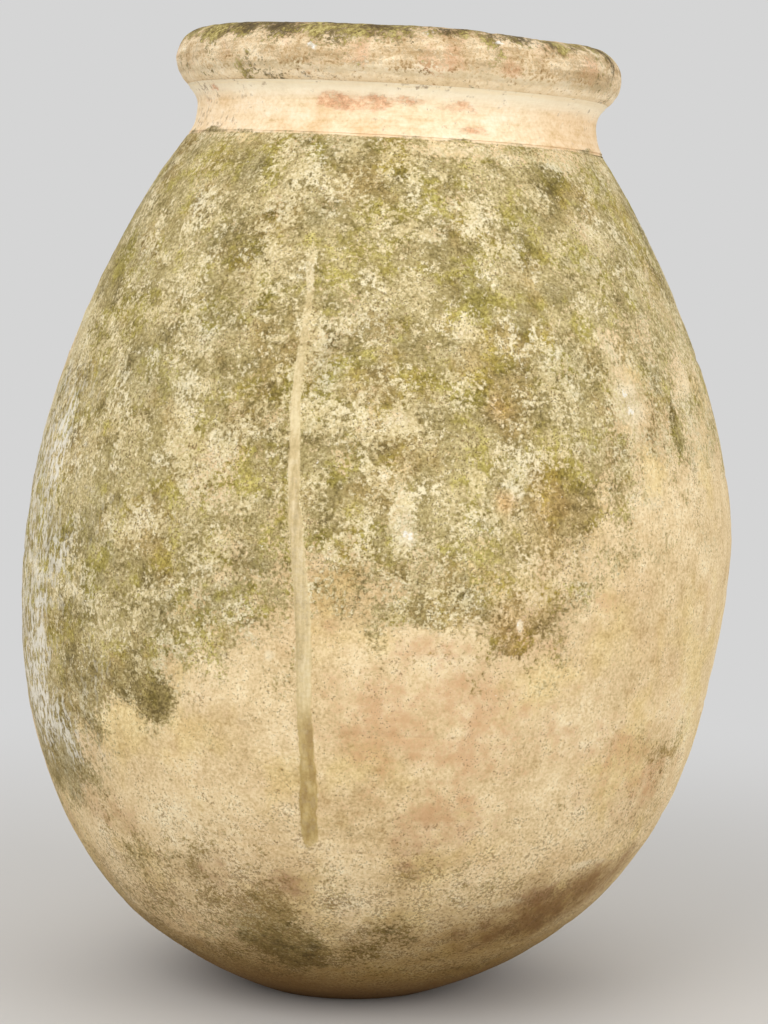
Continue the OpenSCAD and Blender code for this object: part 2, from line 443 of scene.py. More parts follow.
    def push(self, points: np.ndarray, rise: np.ndarray) -> np.ndarray:
        """Moves places square to the outer face.

        Args:
            points: Places in the jar's own upright frame, n by 3.
            rise: Distance outwards for each.

        Returns:
            The moved places.
        """
        turn = np.arctan2(points[:, 0], -points[:, 1])
        out_r = np.interp(points[:, 2], self.line[:, 1], self.out[:, 0])
        out_z = np.interp(points[:, 2], self.line[:, 1], self.out[:, 1])
        moved = points.copy()
        moved[:, 0] += rise * out_r * np.sin(turn)
        moved[:, 1] -= rise * out_r * np.cos(turn)
        moved[:, 2] += rise * out_z
        return moved


# Besides their own colour, low blush patches deepen the painted shade near the foot and low stain patches
# weaken it.
PATCHES: dict[Coat, tuple[Patch, ...]] = {
    Coat.GROWTH: (
        Patch(-17, 0.095, 0.050, 0.047, 0.44), Patch(-34, 0.150, 0.160, 0.090, 0.10),
        Patch(-66, 0.270, 0.070, 0.090, 0.50),
        Patch(0, 0.220, 0.016, 0.014, 0.30), Patch(8, 0.205, 0.046, 0.032, 0.22),
        Patch(52, 0.262, 0.110, 0.060, 0.34), Patch(60, 0.300, 0.060, 0.030, 0.25),
        Patch(12, 0.435, 0.060, 0.020, 0.25), Patch(4, 0.360, 0.050, 0.030, 0.12),
        Patch(-58, 0.250, 0.090, 0.080, 0.30), Patch(23, 0.415, 0.056, 0.030, 0.25)),
    Coat.MOSS: (
        Patch(-33, 0.330, 0.030, 0.024, 0.65), Patch(-38, 0.345, 0.046, 0.056, 0.50),
        Patch(-48, 0.345, 0.044, 0.070, 0.50), Patch(-30, 0.757, 0.022, 0.026, 0.50),
        Patch(-44, 0.782, 0.020, 0.020, 0.35), Patch(-52, 0.702, 0.034, 0.012, 0.35),
        Patch(1, 0.830, 0.009, 0.008, 0.90), Patch(29, 0.764, 0.020, 0.020, 0.45),
        Patch(32, 0.724, 0.022, 0.013, 0.45), Patch(40, 0.822, 0.029, 0.027, 0.75),
        Patch(56, 0.603, 0.014, 0.032, 0.60), Patch(22, 0.417, 0.052, 0.028, 0.08),
        Patch(7, 0.436, 0.014, 0.018, 0.40), Patch(-62, 0.300, 0.070, 0.060, 0.20),
        Patch(-14, 0.086, 0.050, 0.030, 0.45), Patch(-4, 0.075, 0.040, 0.020, 0.30),
        Patch(8, 0.096, 0.040, 0.030, 0.45),
        Patch(20, 0.640, 0.040, 0.060, 0.30), Patch(30, 0.520, 0.040, 0.050, 0.18),
        Patch(-70, 0.730, 0.050, 0.120, 0.35)),
    Coat.LIME: (
        Patch(44, 0.625, 0.030, 0.045, 0.90), Patch(42, 0.679, 0.016, 0.022, 0.60),
        Patch(50, 0.775, 0.025, 0.024, 0.60), Patch(46, 0.540, 0.040, 0.050, 0.50),
        Patch(7, 0.772, 0.015, 0.008, 0.70), Patch(14, 0.687, 0.018, 0.010, 0.80),
        Patch(2, 0.605, 0.017, 0.014, 0.80), Patch(3, 0.529, 0.013, 0.038, 0.70),
        Patch(14, 0.556, 0.012, 0.014, 0.60), Patch(-15, 0.387, 0.008, 0.010, 0.80),
        Patch(22, 0.422, 0.004, 0.008, 1.60), Patch(4, 0.502, 0.006, 0.006, 1.10),
        Patch(0, 0.554, 0.005, 0.004, 1.10), Patch(30, 0.848, 0.018, 0.010, 0.50),
        Patch(-30, 0.560, 0.050, 0.030, 0.30), Patch(-22, 0.520, 0.040, 0.024, 0.30),
        Patch(14, 0.852, 0.060, 0.008, 0.60), Patch(46, 0.846, 0.050, 0.014, 0.45),
        Patch(28, 0.140, 0.040, 0.007, 0.70), Patch(46, 0.172, 0.060, 0.008, 0.75)),
    Coat.BLUSH: (
        Patch(-6, 0.416, 0.014, 0.012, 0.60), Patch(15, 0.289, 0.020, 0.024, 0.45),
        Patch(18, 0.539, 0.015, 0.014, 0.90), Patch(18, 0.614, 0.017, 0.018, 0.60),
        Patch(3, 0.315, 0.040, 0.045, 0.35), Patch(31, 0.112, 0.080, 0.038, 0.68),
        Patch(44, 0.130, 0.090, 0.036, 0.72), Patch(60, 0.146, 0.080, 0.034, 0.62),
        Patch(8, 0.330, 0.130, 0.090, 0.55), Patch(40, 0.300, 0.120, 0.080, 0.38),
        Patch(10, 0.220, 0.100, 0.050, 0.30),
        Patch(8, 0.400, 0.040, 0.016, 0.50), Patch(20, 0.350, 0.060, 0.050, 0.35),
        Patch(36, 0.430, 0.016, 0.030, 0.50), Patch(12, 0.225, 0.050, 0.040, 0.50),
        Patch(-10, 0.160, 0.030, 0.016, 0.50), Patch(-48, 0.205, 0.060, 0.018, 0.50),
        Patch(23, 0.418, 0.060, 0.034, 0.65), Patch(54, 0.262, 0.090, 0.060, 0.50),
        Patch(26, 0.500, 0.080, 0.080, 0.40), Patch(-24, 0.140, 0.100, 0.050, 0.40)),
    Coat.STAIN: (
        Patch(-9, 0.652, 0.020, 0.030, 0.90), Patch(-36, 0.825, 0.020, 0.020, 0.70),
        Patch(-33, 0.687, 0.030, 0.032, 0.60), Patch(-39, 0.615, 0.042, 0.032, 0.60),
        Patch(63, 0.765, 0.042, 0.027, 0.50), Patch(32, 0.724, 0.022, 0.013, 0.50),
        Patch(-60, 0.260, 0.090, 0.090, 0.90), Patch(-70, 0.400, 0.050, 0.080, 0.50),
        Patch(-30, 0.140, 0.130, 0.070, 0.80), Patch(30, 0.330, 0.160, 0.130, 0.45),
        Patch(-8, 0.300, 0.060, 0.060, 0.20)),
    Coat.STREAK: (
        Patch(-64, 0.540, 0.024, 0.050, 0.80), Patch(-58, 0.450, 0.020, 0.040, 0.40),
        Patch(-66, 0.330, 0.050, 0.080, 0.90), Patch(-56, 0.280, 0.030, 0.050, 0.60)),
}


def paint(red: int, green: int, blue: int) -> tuple[float, float, float, float]:
    """Turns a screen colour, 0 to 255, into the linear colour a shader takes."""
    steps = (c / 255.0 for c in (red, green, blue))
    linear = (c / 12.92 if c <= 0.04045 else ((c + 0.055) / 1.055) ** 2.4 for c in steps)
    return (*linear, 1.0)


class Bench:
    """A material being mixed from nodes, with short words for the steps that repeat."""

    def __init__(self, name: str) -> None:
        """Starts an empty material with its shader.

        Args:
            name: Name of the finish.
        """
        self.material = bpy.data.materials.new(name)
        self.material.use_nodes = True
        self.tree = self.material.node_tree
        self.shader = self.tree.nodes["Principled BSDF"]
        self.coords = self.tree.nodes.new("ShaderNodeTexCoord").outputs["Object"]
        self.offset = 0.0

    def join(self, value: float | tuple | Sockets, socket: Sockets) -> None:
        """Links a socket, or sets a plain value."""
        if isinstance(value, bpy.types.NodeSocket):
            self.tree.links.new(value, socket)
        else:
            socket.default_value = value

    def noise(self, scale: float, detail: float = 3.0, rough: float = 0.55,
              stretch: tuple[float, float, float] = (1.0, 1.0, 1.0)) -> Sockets:
        """Adds noise on the jar's own coordinates, each call with its own pattern.

        Args:
            scale: Cells per metre.
            detail: Octaves.
            rough: Strength of the finer octaves.
            stretch: Multiplies the scale along each axis.

        Returns:
            The noise, about 0 to 1.
        """
        self.offset += 1.7
        move = self.tree.nodes.new("ShaderNodeMapping")
        move.inputs["Location"].default_value = (self.offset, -self.offset, 2 * self.offset)
        move.inputs["Scale"].default_value = stretch
        self.join(self.coords, move.inputs["Vector"])
        node = self.tree.nodes.new("ShaderNodeTexNoise")
        node.inputs["Scale"].default_value = scale
        node.inputs["Detail"].default_value = detail
        node.inputs["Roughness"].default_value = rough
        self.join(move.outputs["Vector"], node.inputs["Vector"])
        return node.outputs["Fac"]

    def field(self, coat: Coat) -> Sockets:
        """Reads a coat's density from the mesh."""
        node = self.tree.nodes.new("ShaderNodeAttribute")
        node.attribute_name = coat.value
        return node.outputs["Fac"]

    def ramp(self, value: Sockets, low: float | Sockets, high: float | Sockets) -> Sockets:
        """Smooth step of a value from 0 at low to 1 at high."""
        node = self.tree.nodes.new("ShaderNodeMapRange")
        node.interpolation_type = "SMOOTHSTEP"
        self.join(value, node.inputs["Value"])
        self.join(low, node.inputs["From Min"])
        self.join(high, node.inputs["From Max"])
        return node.outputs["Result"]

    def sum(self, operation: str, first: float | Sockets, second: float | Sockets) -> Sockets:
        """Does arithmetic on two values, clamped only by what follows."""
        node = self.tree.nodes.new("ShaderNodeMath")
        node.operation = operation
        self.join(first, node.inputs[0])
        self.join(second, node.inputs[1])
        return node.outputs[0]

    def swing(self, value: Sockets, amount: float) -> Sockets:
        """Centres a noise on zero and scales it."""
        return self.sum("MULTIPLY", self.sum("SUBTRACT", value, 0.5), amount)

    def tones(self, value: Sockets, stops: tuple[tuple[float, tuple], ...]) -> Sockets:
        """Looks a value up in a row of colours.

        Args:
            value: The tone, 0 to 1.
            stops: Place and colour of each stop, upwards.

        Returns:
            The colour.
        """
        node = self.tree.nodes.new("ShaderNodeValToRGB")
        bar = node.color_ramp.elements
        while len(bar) < len(stops):
            bar.new(0.5)
        for element, (place, colour) in zip(bar, stops):
            element.position = place
            element.color = colour
        self.join(value, node.inputs["Fac"])
        return node.outputs["Color"]

    def blend(self, share: float | Sockets, under: tuple | Sockets, over: tuple | Sockets,
              way: str = "MIX") -> Sockets:
        """Lays one colour over another.

        Args:
            share: How much of the upper colour shows.
            under: The colour below.
            over: The colour above.
            way: Blend mode.

        Returns:
            The mixed colour.
        """
        node = self.tree.nodes.new("ShaderNodeMix")
        node.data_type = "RGBA"
        node.blend_type = way
        self.join(share, node.inputs["Factor"])
        self.join(under, node.inputs[6])
        self.join(over, node.inputs[7])
        return node.outputs[2]

    def height(self) -> Sockets:
        """Gives the height above the floor."""
        node = self.tree.nodes.new("ShaderNodeSeparateXYZ")
        self.join(self.coords, node.inputs[0])
        return node.outputs["Z"]

    def finish(self, colour: Sockets, rough: float | Sockets, relief: Sockets, depth: float,
               gloss: float = 0.2) -> bpy.types.Material:
        """Connects the colour, roughness and relief to the shader.

        Args:
            colour: Base colour.
            rough: Roughness.
            relief: Height for the bump.
            depth: Depth of the bump in metres.
            gloss: Specular level.

        Returns:
            The finished material.
        """
        bump = self.tree.nodes.new("ShaderNodeBump")
        bump.inputs["Distance"].default_value = depth
        self.join(relief, bump.inputs["Height"])
        self.join(bump.outputs["Normal"], self.shader.inputs["Normal"])
        self.join(colour, self.shader.inputs["Base Color"])
        self.join(rough, self.shader.inputs["Roughness"])
        self.shader.inputs["Specular IOR Level"].default_value = gloss
        return self.material


@dataclass(frozen=True)
class WeatheredWall:
    """Clay under lime and lichen: beige and pink below, speckled olive and cream above, darkened towards the
    foot by painted shade.
    """

    name: str = "weathered_wall"
    clay_tones: tuple = ((0.24, paint(182, 152, 104)), (0.42, paint(216, 190, 144)),
                         (0.55, paint(233, 209, 165)), (0.76, paint(249, 234, 197)))
    lichen_tones: tuple = ((0.24, paint(106, 92, 54)), (0.38, paint(146, 130, 82)),
                           (0.52, paint(178, 161, 110)), (0.68, paint(216, 199, 149)))
    fleck_tones: tuple = ((0.30, paint(198, 177, 127)), (0.50, paint(226, 208, 160)),
                          (0.72, paint(250, 237, 201)))
    pink: tuple = paint(202, 156, 112)
    rust_and_painted_shade: tuple = paint(152, 108, 74)
    bloom: tuple = paint(240, 226, 192)
    straw_tint: tuple = (0.98, 0.97, 0.80, 1.0)
    chalk: tuple = paint(244, 238, 224)
    dark: tuple = paint(92, 76, 42)
    brown: tuple = paint(138, 110, 68)
    soil_and_painted_shade: tuple = paint(112, 78, 40)
    green_tint: tuple = (0.95, 0.98, 0.50, 1.0)
    grey_tint: tuple = (0.80, 0.84, 0.92, 1.0)
    brown_tint: tuple = (0.98, 0.88, 0.76, 1.0)
    rosy_tint: tuple = (1.0, 0.80, 0.66, 1.0)
    shade_tint: tuple = (0.42, 0.35, 0.20, 1.0)

    def patina(self, b: Bench) -> tuple[Sockets, Sockets]:
        """Mixes the colour and the fine relief of the wall.

        Args:
            b: The material being mixed.

        Returns:
            The colour and the height for the bump.
        """
        broad = b.noise(9.0, 3.0)
        clump = b.noise(46.0, 5.0, 0.66)
        speck = b.noise(330.0, 2.5, 0.62)
        level = b.noise(7.0, 4.0, 0.6, (1.0, 1.0, 24.0))
        fall = b.noise(150.0, 5.0, 0.70, (1.0, 1.0, 0.50))
        grain = b.sum("ADD", b.swing(speck, 0.66), b.sum("ADD", b.swing(clump, 0.50), b.swing(fall, 0.08)))
        grain = b.sum("ADD", grain, b.sum("ADD", b.swing(broad, 0.50), b.swing(level, 0.10)))
        grain = b.sum("ADD", grain, b.swing(b.noise(21.0, 5.0, 0.66), 0.42))
        clay = b.tones(b.sum("ADD", grain, 0.50), self.clay_tones)
        warm = b.ramp(b.noise(14.0, 3.0, 0.6), 0.46, 0.70)
        clay = b.blend(b.sum("MULTIPLY", warm, 0.16), clay, self.pink)
        straw = b.ramp(b.noise(11.0, 4.0, 0.6), 0.50, 0.66)
        clay = b.blend(b.sum("MULTIPLY", straw, 0.8), clay, self.straw_tint, "MULTIPLY")
        clay = b.blend(b.sum("MULTIPLY", b.field(Coat.STAIN), 0.18), clay, self.grey_tint, "MULTIPLY")
        blush = b.sum("ADD", b.field(Coat.BLUSH), b.swing(b.noise(52.0, 6.0, 0.74), 3.0))
        blush = b.ramp(b.sum("ADD", blush, b.swing(speck, 1.4)), 0.22, 1.25)
        # Low down the blush turns to darker rust, partly its own colour and partly painted shade.
        low_blush_and_painted_shade = b.blend(b.ramp(b.height(), 0.26, 0.14), self.pink, self.rust_and_painted_shade)
        clay = b.blend(b.sum("MULTIPLY", blush, 0.72), clay, low_blush_and_painted_shade)
        bloom = b.sum("ADD", b.field(Coat.LIME), b.swing(b.noise(80.0, 5.0, 0.7), 1.6))
        clay = b.blend(b.sum("MULTIPLY", b.ramp(bloom, 0.35, 1.0), 0.7), clay, self.bloom)

        tone = b.sum("ADD", b.swing(speck, 0.70), b.sum("ADD", b.swing(clump, 0.85), b.swing(broad, 0.35)))
        tone = b.sum("SUBTRACT", tone, b.sum("MULTIPLY", b.field(Coat.MOSS), 0.20))
        lichen = b.tones(b.sum("ADD", tone, 0.48), self.lichen_tones)
        green = b.ramp(b.noise(24.0, 6.0, 0.68), 0.48, 0.60)
        high = b.ramp(b.height(), 0.20, 0.42)
        green = b.sum("MULTIPLY", green, high)
        lichen = b.blend(b.sum("MULTIPLY", green, 0.80), lichen, self.green_tint, "MULTIPLY")
        brown = b.sum("MAXIMUM", b.ramp(b.noise(15.0, 5.0, 0.64), 0.50, 0.62), b.sum("SUBTRACT", 1.0, high))
        lichen = b.blend(b.sum("MULTIPLY", brown, 0.75), lichen, self.brown_tint, "MULTIPLY")

        flecks = b.sum("ADD", b.swing(b.noise(68.0, 7.0, 0.80), 0.75), b.swing(b.noise(19.0, 5.0, 0.64), 0.62))
        flecks = b.sum("ADD", flecks, b.swing(b.noise(230.0, 3.0, 0.72), 0.75))
        flecks = b.sum("ADD", flecks, b.sum("MULTIPLY", b.field(Coat.LIME), 0.26))
        flecks = b.sum("SUBTRACT", flecks, b.sum("MULTIPLY", b.field(Coat.MOSS), 0.10))
        flecks = b.ramp(flecks, -0.03, 0.075)
        flecks = b.sum("MULTIPLY", flecks, b.sum("ADD", 0.35, b.sum("MULTIPLY", high, 0.65)))
        bright = b.tones(b.sum("ADD", b.swing(speck, 1.1), b.noise(30.0, 4.0, 0.6)), self.fleck_tones)
        lichen = b.blend(b.sum("MULTIPLY", flecks, 0.82), lichen, bright)
        rosy = b.sum("MULTIPLY", b.field(Coat.BLUSH), 0.9)
        lichen = b.blend(rosy, lichen, self.rosy_tint, "MULTIPLY")
        grey = b.ramp(b.noise(19.0, 5.0, 0.64), 0.50, 0.64)
        grey = b.sum("MAXIMUM", b.sum("MULTIPLY", grey, 0.6), b.field(Coat.STAIN))
        lichen = b.blend(b.sum("MULTIPLY", grey, 0.75), lichen, self.grey_tint, "MULTIPLY")

        reach = b.sum("MULTIPLY", b.field(Coat.GROWTH), 1.30)
        reach = b.sum("ADD", reach, b.swing(b.noise(30.0, 6.0, 0.70), 2.3))
        reach = b.sum("ADD", reach, b.swing(b.noise(270.0, 3.0, 0.68), 2.0))
        cover = b.ramp(reach, 0.42, 0.86)
        colour = b.blend(cover, clay, lichen)

        crumbs = b.sum("ADD", b.noise(560.0, 1.5, 0.5), b.sum("MULTIPLY", b.field(Coat.GROWTH), 0.07))
        crumbs = b.sum("ADD", crumbs, b.swing(clump, 0.35))
        colour = b.blend(b.sum("MULTIPLY", b.ramp(crumbs, 0.66, 0.76), 0.7), colour, self.dark)
        freckles = b.sum("ADD", b.noise(360.0, 4.0, 0.72), b.swing(clump, 0.45))
        freckles = b.sum("ADD", freckles, b.sum("MULTIPLY", b.ramp(b.height(), 0.30, 0.12), 0.09))
        colour = b.blend(b.sum("MULTIPLY", b.ramp(freckles, 0.60, 0.67), 0.66), colour, self.brown)
        chips = b.sum("ADD", b.noise(150.0, 4.0, 0.66), b.sum("MULTIPLY", b.field(Coat.GROWTH), 0.03))
        chips = b.sum("ADD", chips, b.sum("MULTIPLY", b.ramp(b.field(Coat.LIME), 0.70, 1.0), 0.22))
        chips = b.ramp(chips, 0.735, 0.76)
        colour = b.blend(b.sum("MULTIPLY", chips, 0.85), colour, self.chalk)
        salts = b.ramp(b.sum("ADD", fall, b.sum("MULTIPLY", b.field(Coat.STREAK), 0.10)), 0.54, 0.63)
        salts = b.sum("MULTIPLY", salts, b.field(Coat.STREAK))
        colour = b.blend(b.sum("MULTIPLY", salts, 0.80), colour, self.chalk)
        # Painted shade: the colour darkens towards the foot; blush deepens it and stain weakens it.
        sunk = b.sum("SUBTRACT", b.sum("MULTIPLY", b.field(Coat.BLUSH), 0.048),
                     b.sum("MULTIPLY", b.field(Coat.STAIN), 0.150))
        sunk = b.sum("SUBTRACT", b.sum("ADD", b.height(), b.swing(clump, 0.06)), sunk)
        low = b.ramp(sunk, 0.18, 0.04)
        colour = b.blend(b.sum("MULTIPLY", low, 0.95), colour, self.shade_tint, "MULTIPLY")
        # Damp soil at the foot, darkened further as painted contact shade.
        damp_and_painted_shade = b.ramp(b.sum("ADD", b.height(), b.swing(clump, 0.05)), 0.070, 0.004)
        colour = b.blend(b.sum("MULTIPLY", damp_and_painted_shade, 0.75), colour, self.soil_and_painted_shade)
        relief = b.sum("ADD", speck, b.sum("ADD", b.swing(clump, 0.8), b.sum("MULTIPLY", flecks, 0.35)))
        return colour, b.sum("MULTIPLY", relief, b.sum("ADD", 0.30, b.sum("MULTIPLY", cover, 0.70)))

    def mix(self) -> bpy.types.Material:
        """Builds the material.

        Returns:
            The material for every lift of the wall.
        """
        b = Bench(self.name)
        colour, relief = self.patina(b)
        return b.finish(colour, 0.92, relief, 0.0009)


@dataclass(frozen=True)
class ChalkySlip:
    """The pale coat round the neck, wiped level, worn to salmon clay, lichened at its foot, and lightened as
    painted light just under the rim's seat.
    """

    name: str = "chalky_slip"
    tones: tuple = ((0.24, paint(204, 172, 124)), (0.42, paint(232, 206, 164)),
                    (0.56, paint(246, 224, 189)), (0.76, paint(254, 241, 218)))
    straw: tuple = (0.93, 0.84, 0.74, 1.0)
    salmon_tones: tuple = ((0.30, paint(190, 138, 102)), (0.50, paint(224, 172, 132)),
                           (0.70, paint(242, 206, 166)))
    dirt: tuple = paint(150, 122, 88)
    pale: tuple = paint(255, 247, 222)

    def ground(self, b: Bench) -> tuple[Sockets, Sockets, Sockets, Sockets]:
        """Mixes the plain slip.

        Args:
            b: The material being mixed.

        Returns:
            Its colour, the fine speck, the level wiping marks and the soft patches.
        """
        speck = b.noise(300.0, 3.0, 0.62)
        wiped = b.noise(9.0, 5.0, 0.62, (1.0, 1.0, 20.0))
        patch = b.noise(30.0, 4.0, 0.6)
        tone = b.sum("ADD", b.swing(wiped, 0.30), b.sum("ADD", b.swing(speck, 0.42), b.swing(patch, 0.50)))
        tone = b.sum("ADD", tone, b.swing(b.noise(85.0, 5.0, 0.70, (1.0, 1.0, 2.0)), 0.50))
        return b.tones(b.sum("ADD", tone, 0.54), self.tones), speck, wiped, patch

    def mix(self) -> bpy.types.Material:
        """Builds the material.

        Returns:
            The finish of the neck.
        """
        b = Bench(self.name)
        wall, _ = WeatheredWall().patina(b)
        colour, speck, wiped, patch = self.ground(b)
        straw = b.sum("MAXIMUM", b.field(Coat.STAIN), b.ramp(b.noise(16.0, 3.0), 0.54, 0.66))
        colour = b.blend(b.sum("MULTIPLY", straw, 0.8), colour, self.straw, "MULTIPLY")
        # Painted light: the lime layer on the neck marks the band under the rim's seat, lightened where the
        # roll shades it.
        colour = b.blend(b.sum("MULTIPLY", b.field(Coat.LIME), 0.7), colour, self.pale)
        worn = b.sum("ADD", b.field(Coat.BLUSH), b.swing(b.noise(60.0, 6.0, 0.72, (1.0, 1.0, 2.5)), 2.6))
        worn = b.ramp(b.sum("ADD", worn, b.swing(speck, 1.0)), 0.38, 1.00)
        fired = b.tones(b.sum("ADD", b.swing(speck, 1.2), patch), self.salmon_tones)
        colour = b.blend(b.sum("MULTIPLY", worn, 0.85), colour, fired)
        specks = b.sum("ADD", b.noise(130.0, 5.0, 0.72), b.sum("MULTIPLY", b.field(Coat.MOSS), 0.15))
        specks = b.sum("ADD", specks, b.swing(patch, 0.35))
        colour = b.blend(b.sum("MULTIPLY", b.ramp(specks, 0.61, 0.76), 0.65), colour, self.dirt)
        creep = b.sum("ADD", b.field(Coat.GROWTH), b.swing(patch, 1.2))
        creep = b.ramp(b.sum("ADD", creep, b.swing(speck, 1.4)), 0.55, 1.25)
        colour = b.blend(creep, colour, wall)
        return b.finish(colour, 0.86, b.sum("ADD", wiped, b.sum("MULTIPLY", worn, -0.3)), 0.0010)


@dataclass(frozen=True)
class BareClay(ChalkySlip):
    """Fired clay at the edges of the slip, under the same dust."""

    name: str = "bare_clay"


@dataclass(frozen=True)
class RimClay:
    """The handled rim: beige clay, moss along the top and brown under the roll, where slip colour is also
    laid, lightened as painted light.
    """

    name: str = "rim_clay"
    tones: tuple = ((0.20, paint(132, 104, 62)), (0.38, paint(190, 160, 116)),
                    (0.52, paint(222, 196, 156)), (0.66, paint(240, 219, 182)),
                    (0.84, paint(252, 241, 216)))
    pink: tuple = paint(218, 162, 126)
    brown: tuple = paint(158, 130, 86)
    cream: tuple = paint(255, 242, 206)
    lute: tuple = paint(150, 140, 102)
    chalk: tuple = paint(250, 246, 236)
    moss_tones: tuple = ((0.32, paint(66, 54, 30)), (0.48, paint(106, 90, 50)),
                         (0.60, paint(152, 136, 70)), (0.74, paint(198, 182, 116)))

    def mix(self) -> bpy.types.Material:
        """Builds the material.

        Returns:
            The finish of the rim.
        """
        b = Bench(self.name)
        speck = b.noise(290.0, 3.0, 0.64)
        clump = b.noise(44.0, 4.0, 0.62)
        level = b.noise(9.0, 5.0, 0.64, (1.0, 1.0, 13.0))
        tone = b.sum("ADD", b.swing(speck, 1.05), b.sum("ADD", b.swing(clump, 0.80), b.swing(level, 0.55)))
        colour = b.tones(b.sum("ADD", tone, 0.54), self.tones)
        pink = b.ramp(b.sum("ADD", b.noise(24.0, 4.0, 0.6), b.swing(speck, 0.3)), 0.53, 0.66)
        colour = b.blend(b.sum("MULTIPLY", pink, 0.38), colour, self.pink)
        lines = b.sum("ADD", b.noise(28.0, 6.0, 0.75, (1.0, 1.0, 5.0)), b.swing(speck, 0.8))
        colour = b.blend(b.sum("MULTIPLY", b.ramp(lines, 0.50, 0.60), 0.65), colour, self.brown)
        lute = b.ramp(b.sum("ADD", b.field(Coat.GROWTH), b.swing(lines, 2.5)), 0.30, 0.90)
        # Under the roll: slip colour, lightened with pale cream as painted light where the roll shades its own
        # underside.
        wiped = b.sum("ADD", b.field(Coat.STAIN), b.sum("ADD", b.swing(lines, 2.4), b.swing(speck, 0.9)))
        slip = b.blend(0.15, ChalkySlip().ground(b)[0], self.cream)
        colour = b.blend(b.sum("MULTIPLY", b.ramp(wiped, 0.20, 0.90), 0.92), colour, slip)
        dirty = b.sum("ADD", b.field(Coat.STREAK), b.sum("ADD", b.swing(clump, 1.6), b.swing(speck, 1.2)))
        colour = b.blend(b.sum("MULTIPLY", b.ramp(dirty, 0.35, 1.1), 0.75), colour, self.brown)
        colour = b.blend(b.sum("MULTIPLY", lute, 0.2), colour, self.lute)
        moss = b.sum("ADD", b.field(Coat.MOSS), b.swing(b.noise(36.0, 6.0, 0.72), 3.4))
        moss = b.ramp(b.sum("ADD", moss, b.swing(speck, 1.6)), 0.38, 0.78)
        shade = b.sum("ADD", b.swing(speck, 0.9), b.noise(34.0, 3.0, 0.6))
        colour = b.blend(b.sum("MULTIPLY", moss, 0.92), colour, b.tones(shade, self.moss_tones))
        chips = b.sum("ADD", b.field(Coat.LIME), b.swing(b.noise(130.0, 5.0, 0.70), 1.8))
        colour = b.blend(b.ramp(chips, 0.42, 0.80), colour, self.chalk)
        relief = b.sum("ADD", speck, b.sum("ADD", b.swing(level, 0.8), b.sum("MULTIPLY", moss, 0.5)))
        return b.finish(colour, 0.9, relief, 0.0010)


@dataclass(frozen=True)
class InnerGlaze:
    """The honey to olive glaze inside, dusty below and streaked where it ran."""

    name: str = "inner_glaze"
    tones: tuple = ((0.26, paint(78, 56, 26)), (0.42, paint(116, 94, 40)),
                    (0.54, paint(158, 122, 54)), (0.70, paint(190, 152, 78)))
    dust: tuple = paint(182, 168, 132)

    def mix(self) -> bpy.types.Material:
        """Builds the material.

        Returns:
            The finish of the lining.
        """
        b = Bench(self.name)
        runs = b.noise(24.0, 5.0, 0.62, (1.0, 1.0, 0.14))
        tone = b.sum("ADD", b.swing(b.noise(60.0, 4.0, 0.6), 0.6), b.swing(b.noise(8.0, 3.0), 0.6))
        colour = b.tones(b.sum("ADD", tone, runs), self.tones)
        settled = b.ramp(b.sum("ADD", b.height(), b.swing(b.noise(18.0, 4.0), 0.20)), 0.22, 0.05)
        dusty = b.sum("ADD", b.noise(90.0, 4.0, 0.65), b.sum("MULTIPLY", settled, 0.3))
        dusty = b.ramp(dusty, 0.56, 0.74)
        colour = b.blend(b.sum("MULTIPLY", dusty, 0.8), colour, self.dust)
        rough = b.sum("ADD", 0.20, b.sum("MULTIPLY", dusty, 0.6))
        return b.finish(colour, rough, runs, 0.0012, 0.5)


@dataclass(frozen=True)
class RunGlaze:
    """The long run: a pale stain that thickens to ochre, over the same weathered wall."""

    name: str = "run_glaze"
    pale_tones: tuple = ((0.30, paint(176, 154, 106)), (0.50, paint(208, 186, 138)),
                         (0.70, paint(228, 210, 166)))
    ochre_tones: tuple = ((0.30, paint(152, 120, 62)), (0.50, paint(176, 148, 86)),
                          (0.70, paint(198, 172, 112)))

    def mix(self) -> bpy.types.Material:
        """Builds the material.

        Returns:
            The finish of the run.
        """
        b = Bench(self.name)
        wall, relief = WeatheredWall().patina(b)
        speck = b.noise(280.0, 3.0, 0.64)
        fall = b.noise(120.0, 4.0, 0.6, (1.0, 1.0, 0.06))
        drift = b.sum("ADD", b.height(), b.swing(b.noise(12.0, 3.0), 0.10))
        tone = b.sum("ADD", b.swing(fall, 1.2), b.sum("ADD", b.swing(speck, 0.4), 0.5))
        pale = b.tones(tone, self.pale_tones)
        colour = b.blend(b.ramp(drift, 0.36, 0.30), pale, b.tones(tone, self.ochre_tones))
        share = b.sum("ADD", b.field(Coat.LIME), b.swing(speck, 0.9))
        share = b.sum("ADD", share, b.swing(b.noise(60.0, 4.0, 0.6), 0.9))
        share = b.ramp(share, 0.22, 0.72)
        colour = b.blend(b.sum("MULTIPLY", share, 0.9), wall, colour)
        return b.finish(colour, b.sum("SUBTRACT", 0.9, b.sum("MULTIPLY", share, 0.3)), relief, 0.0006)


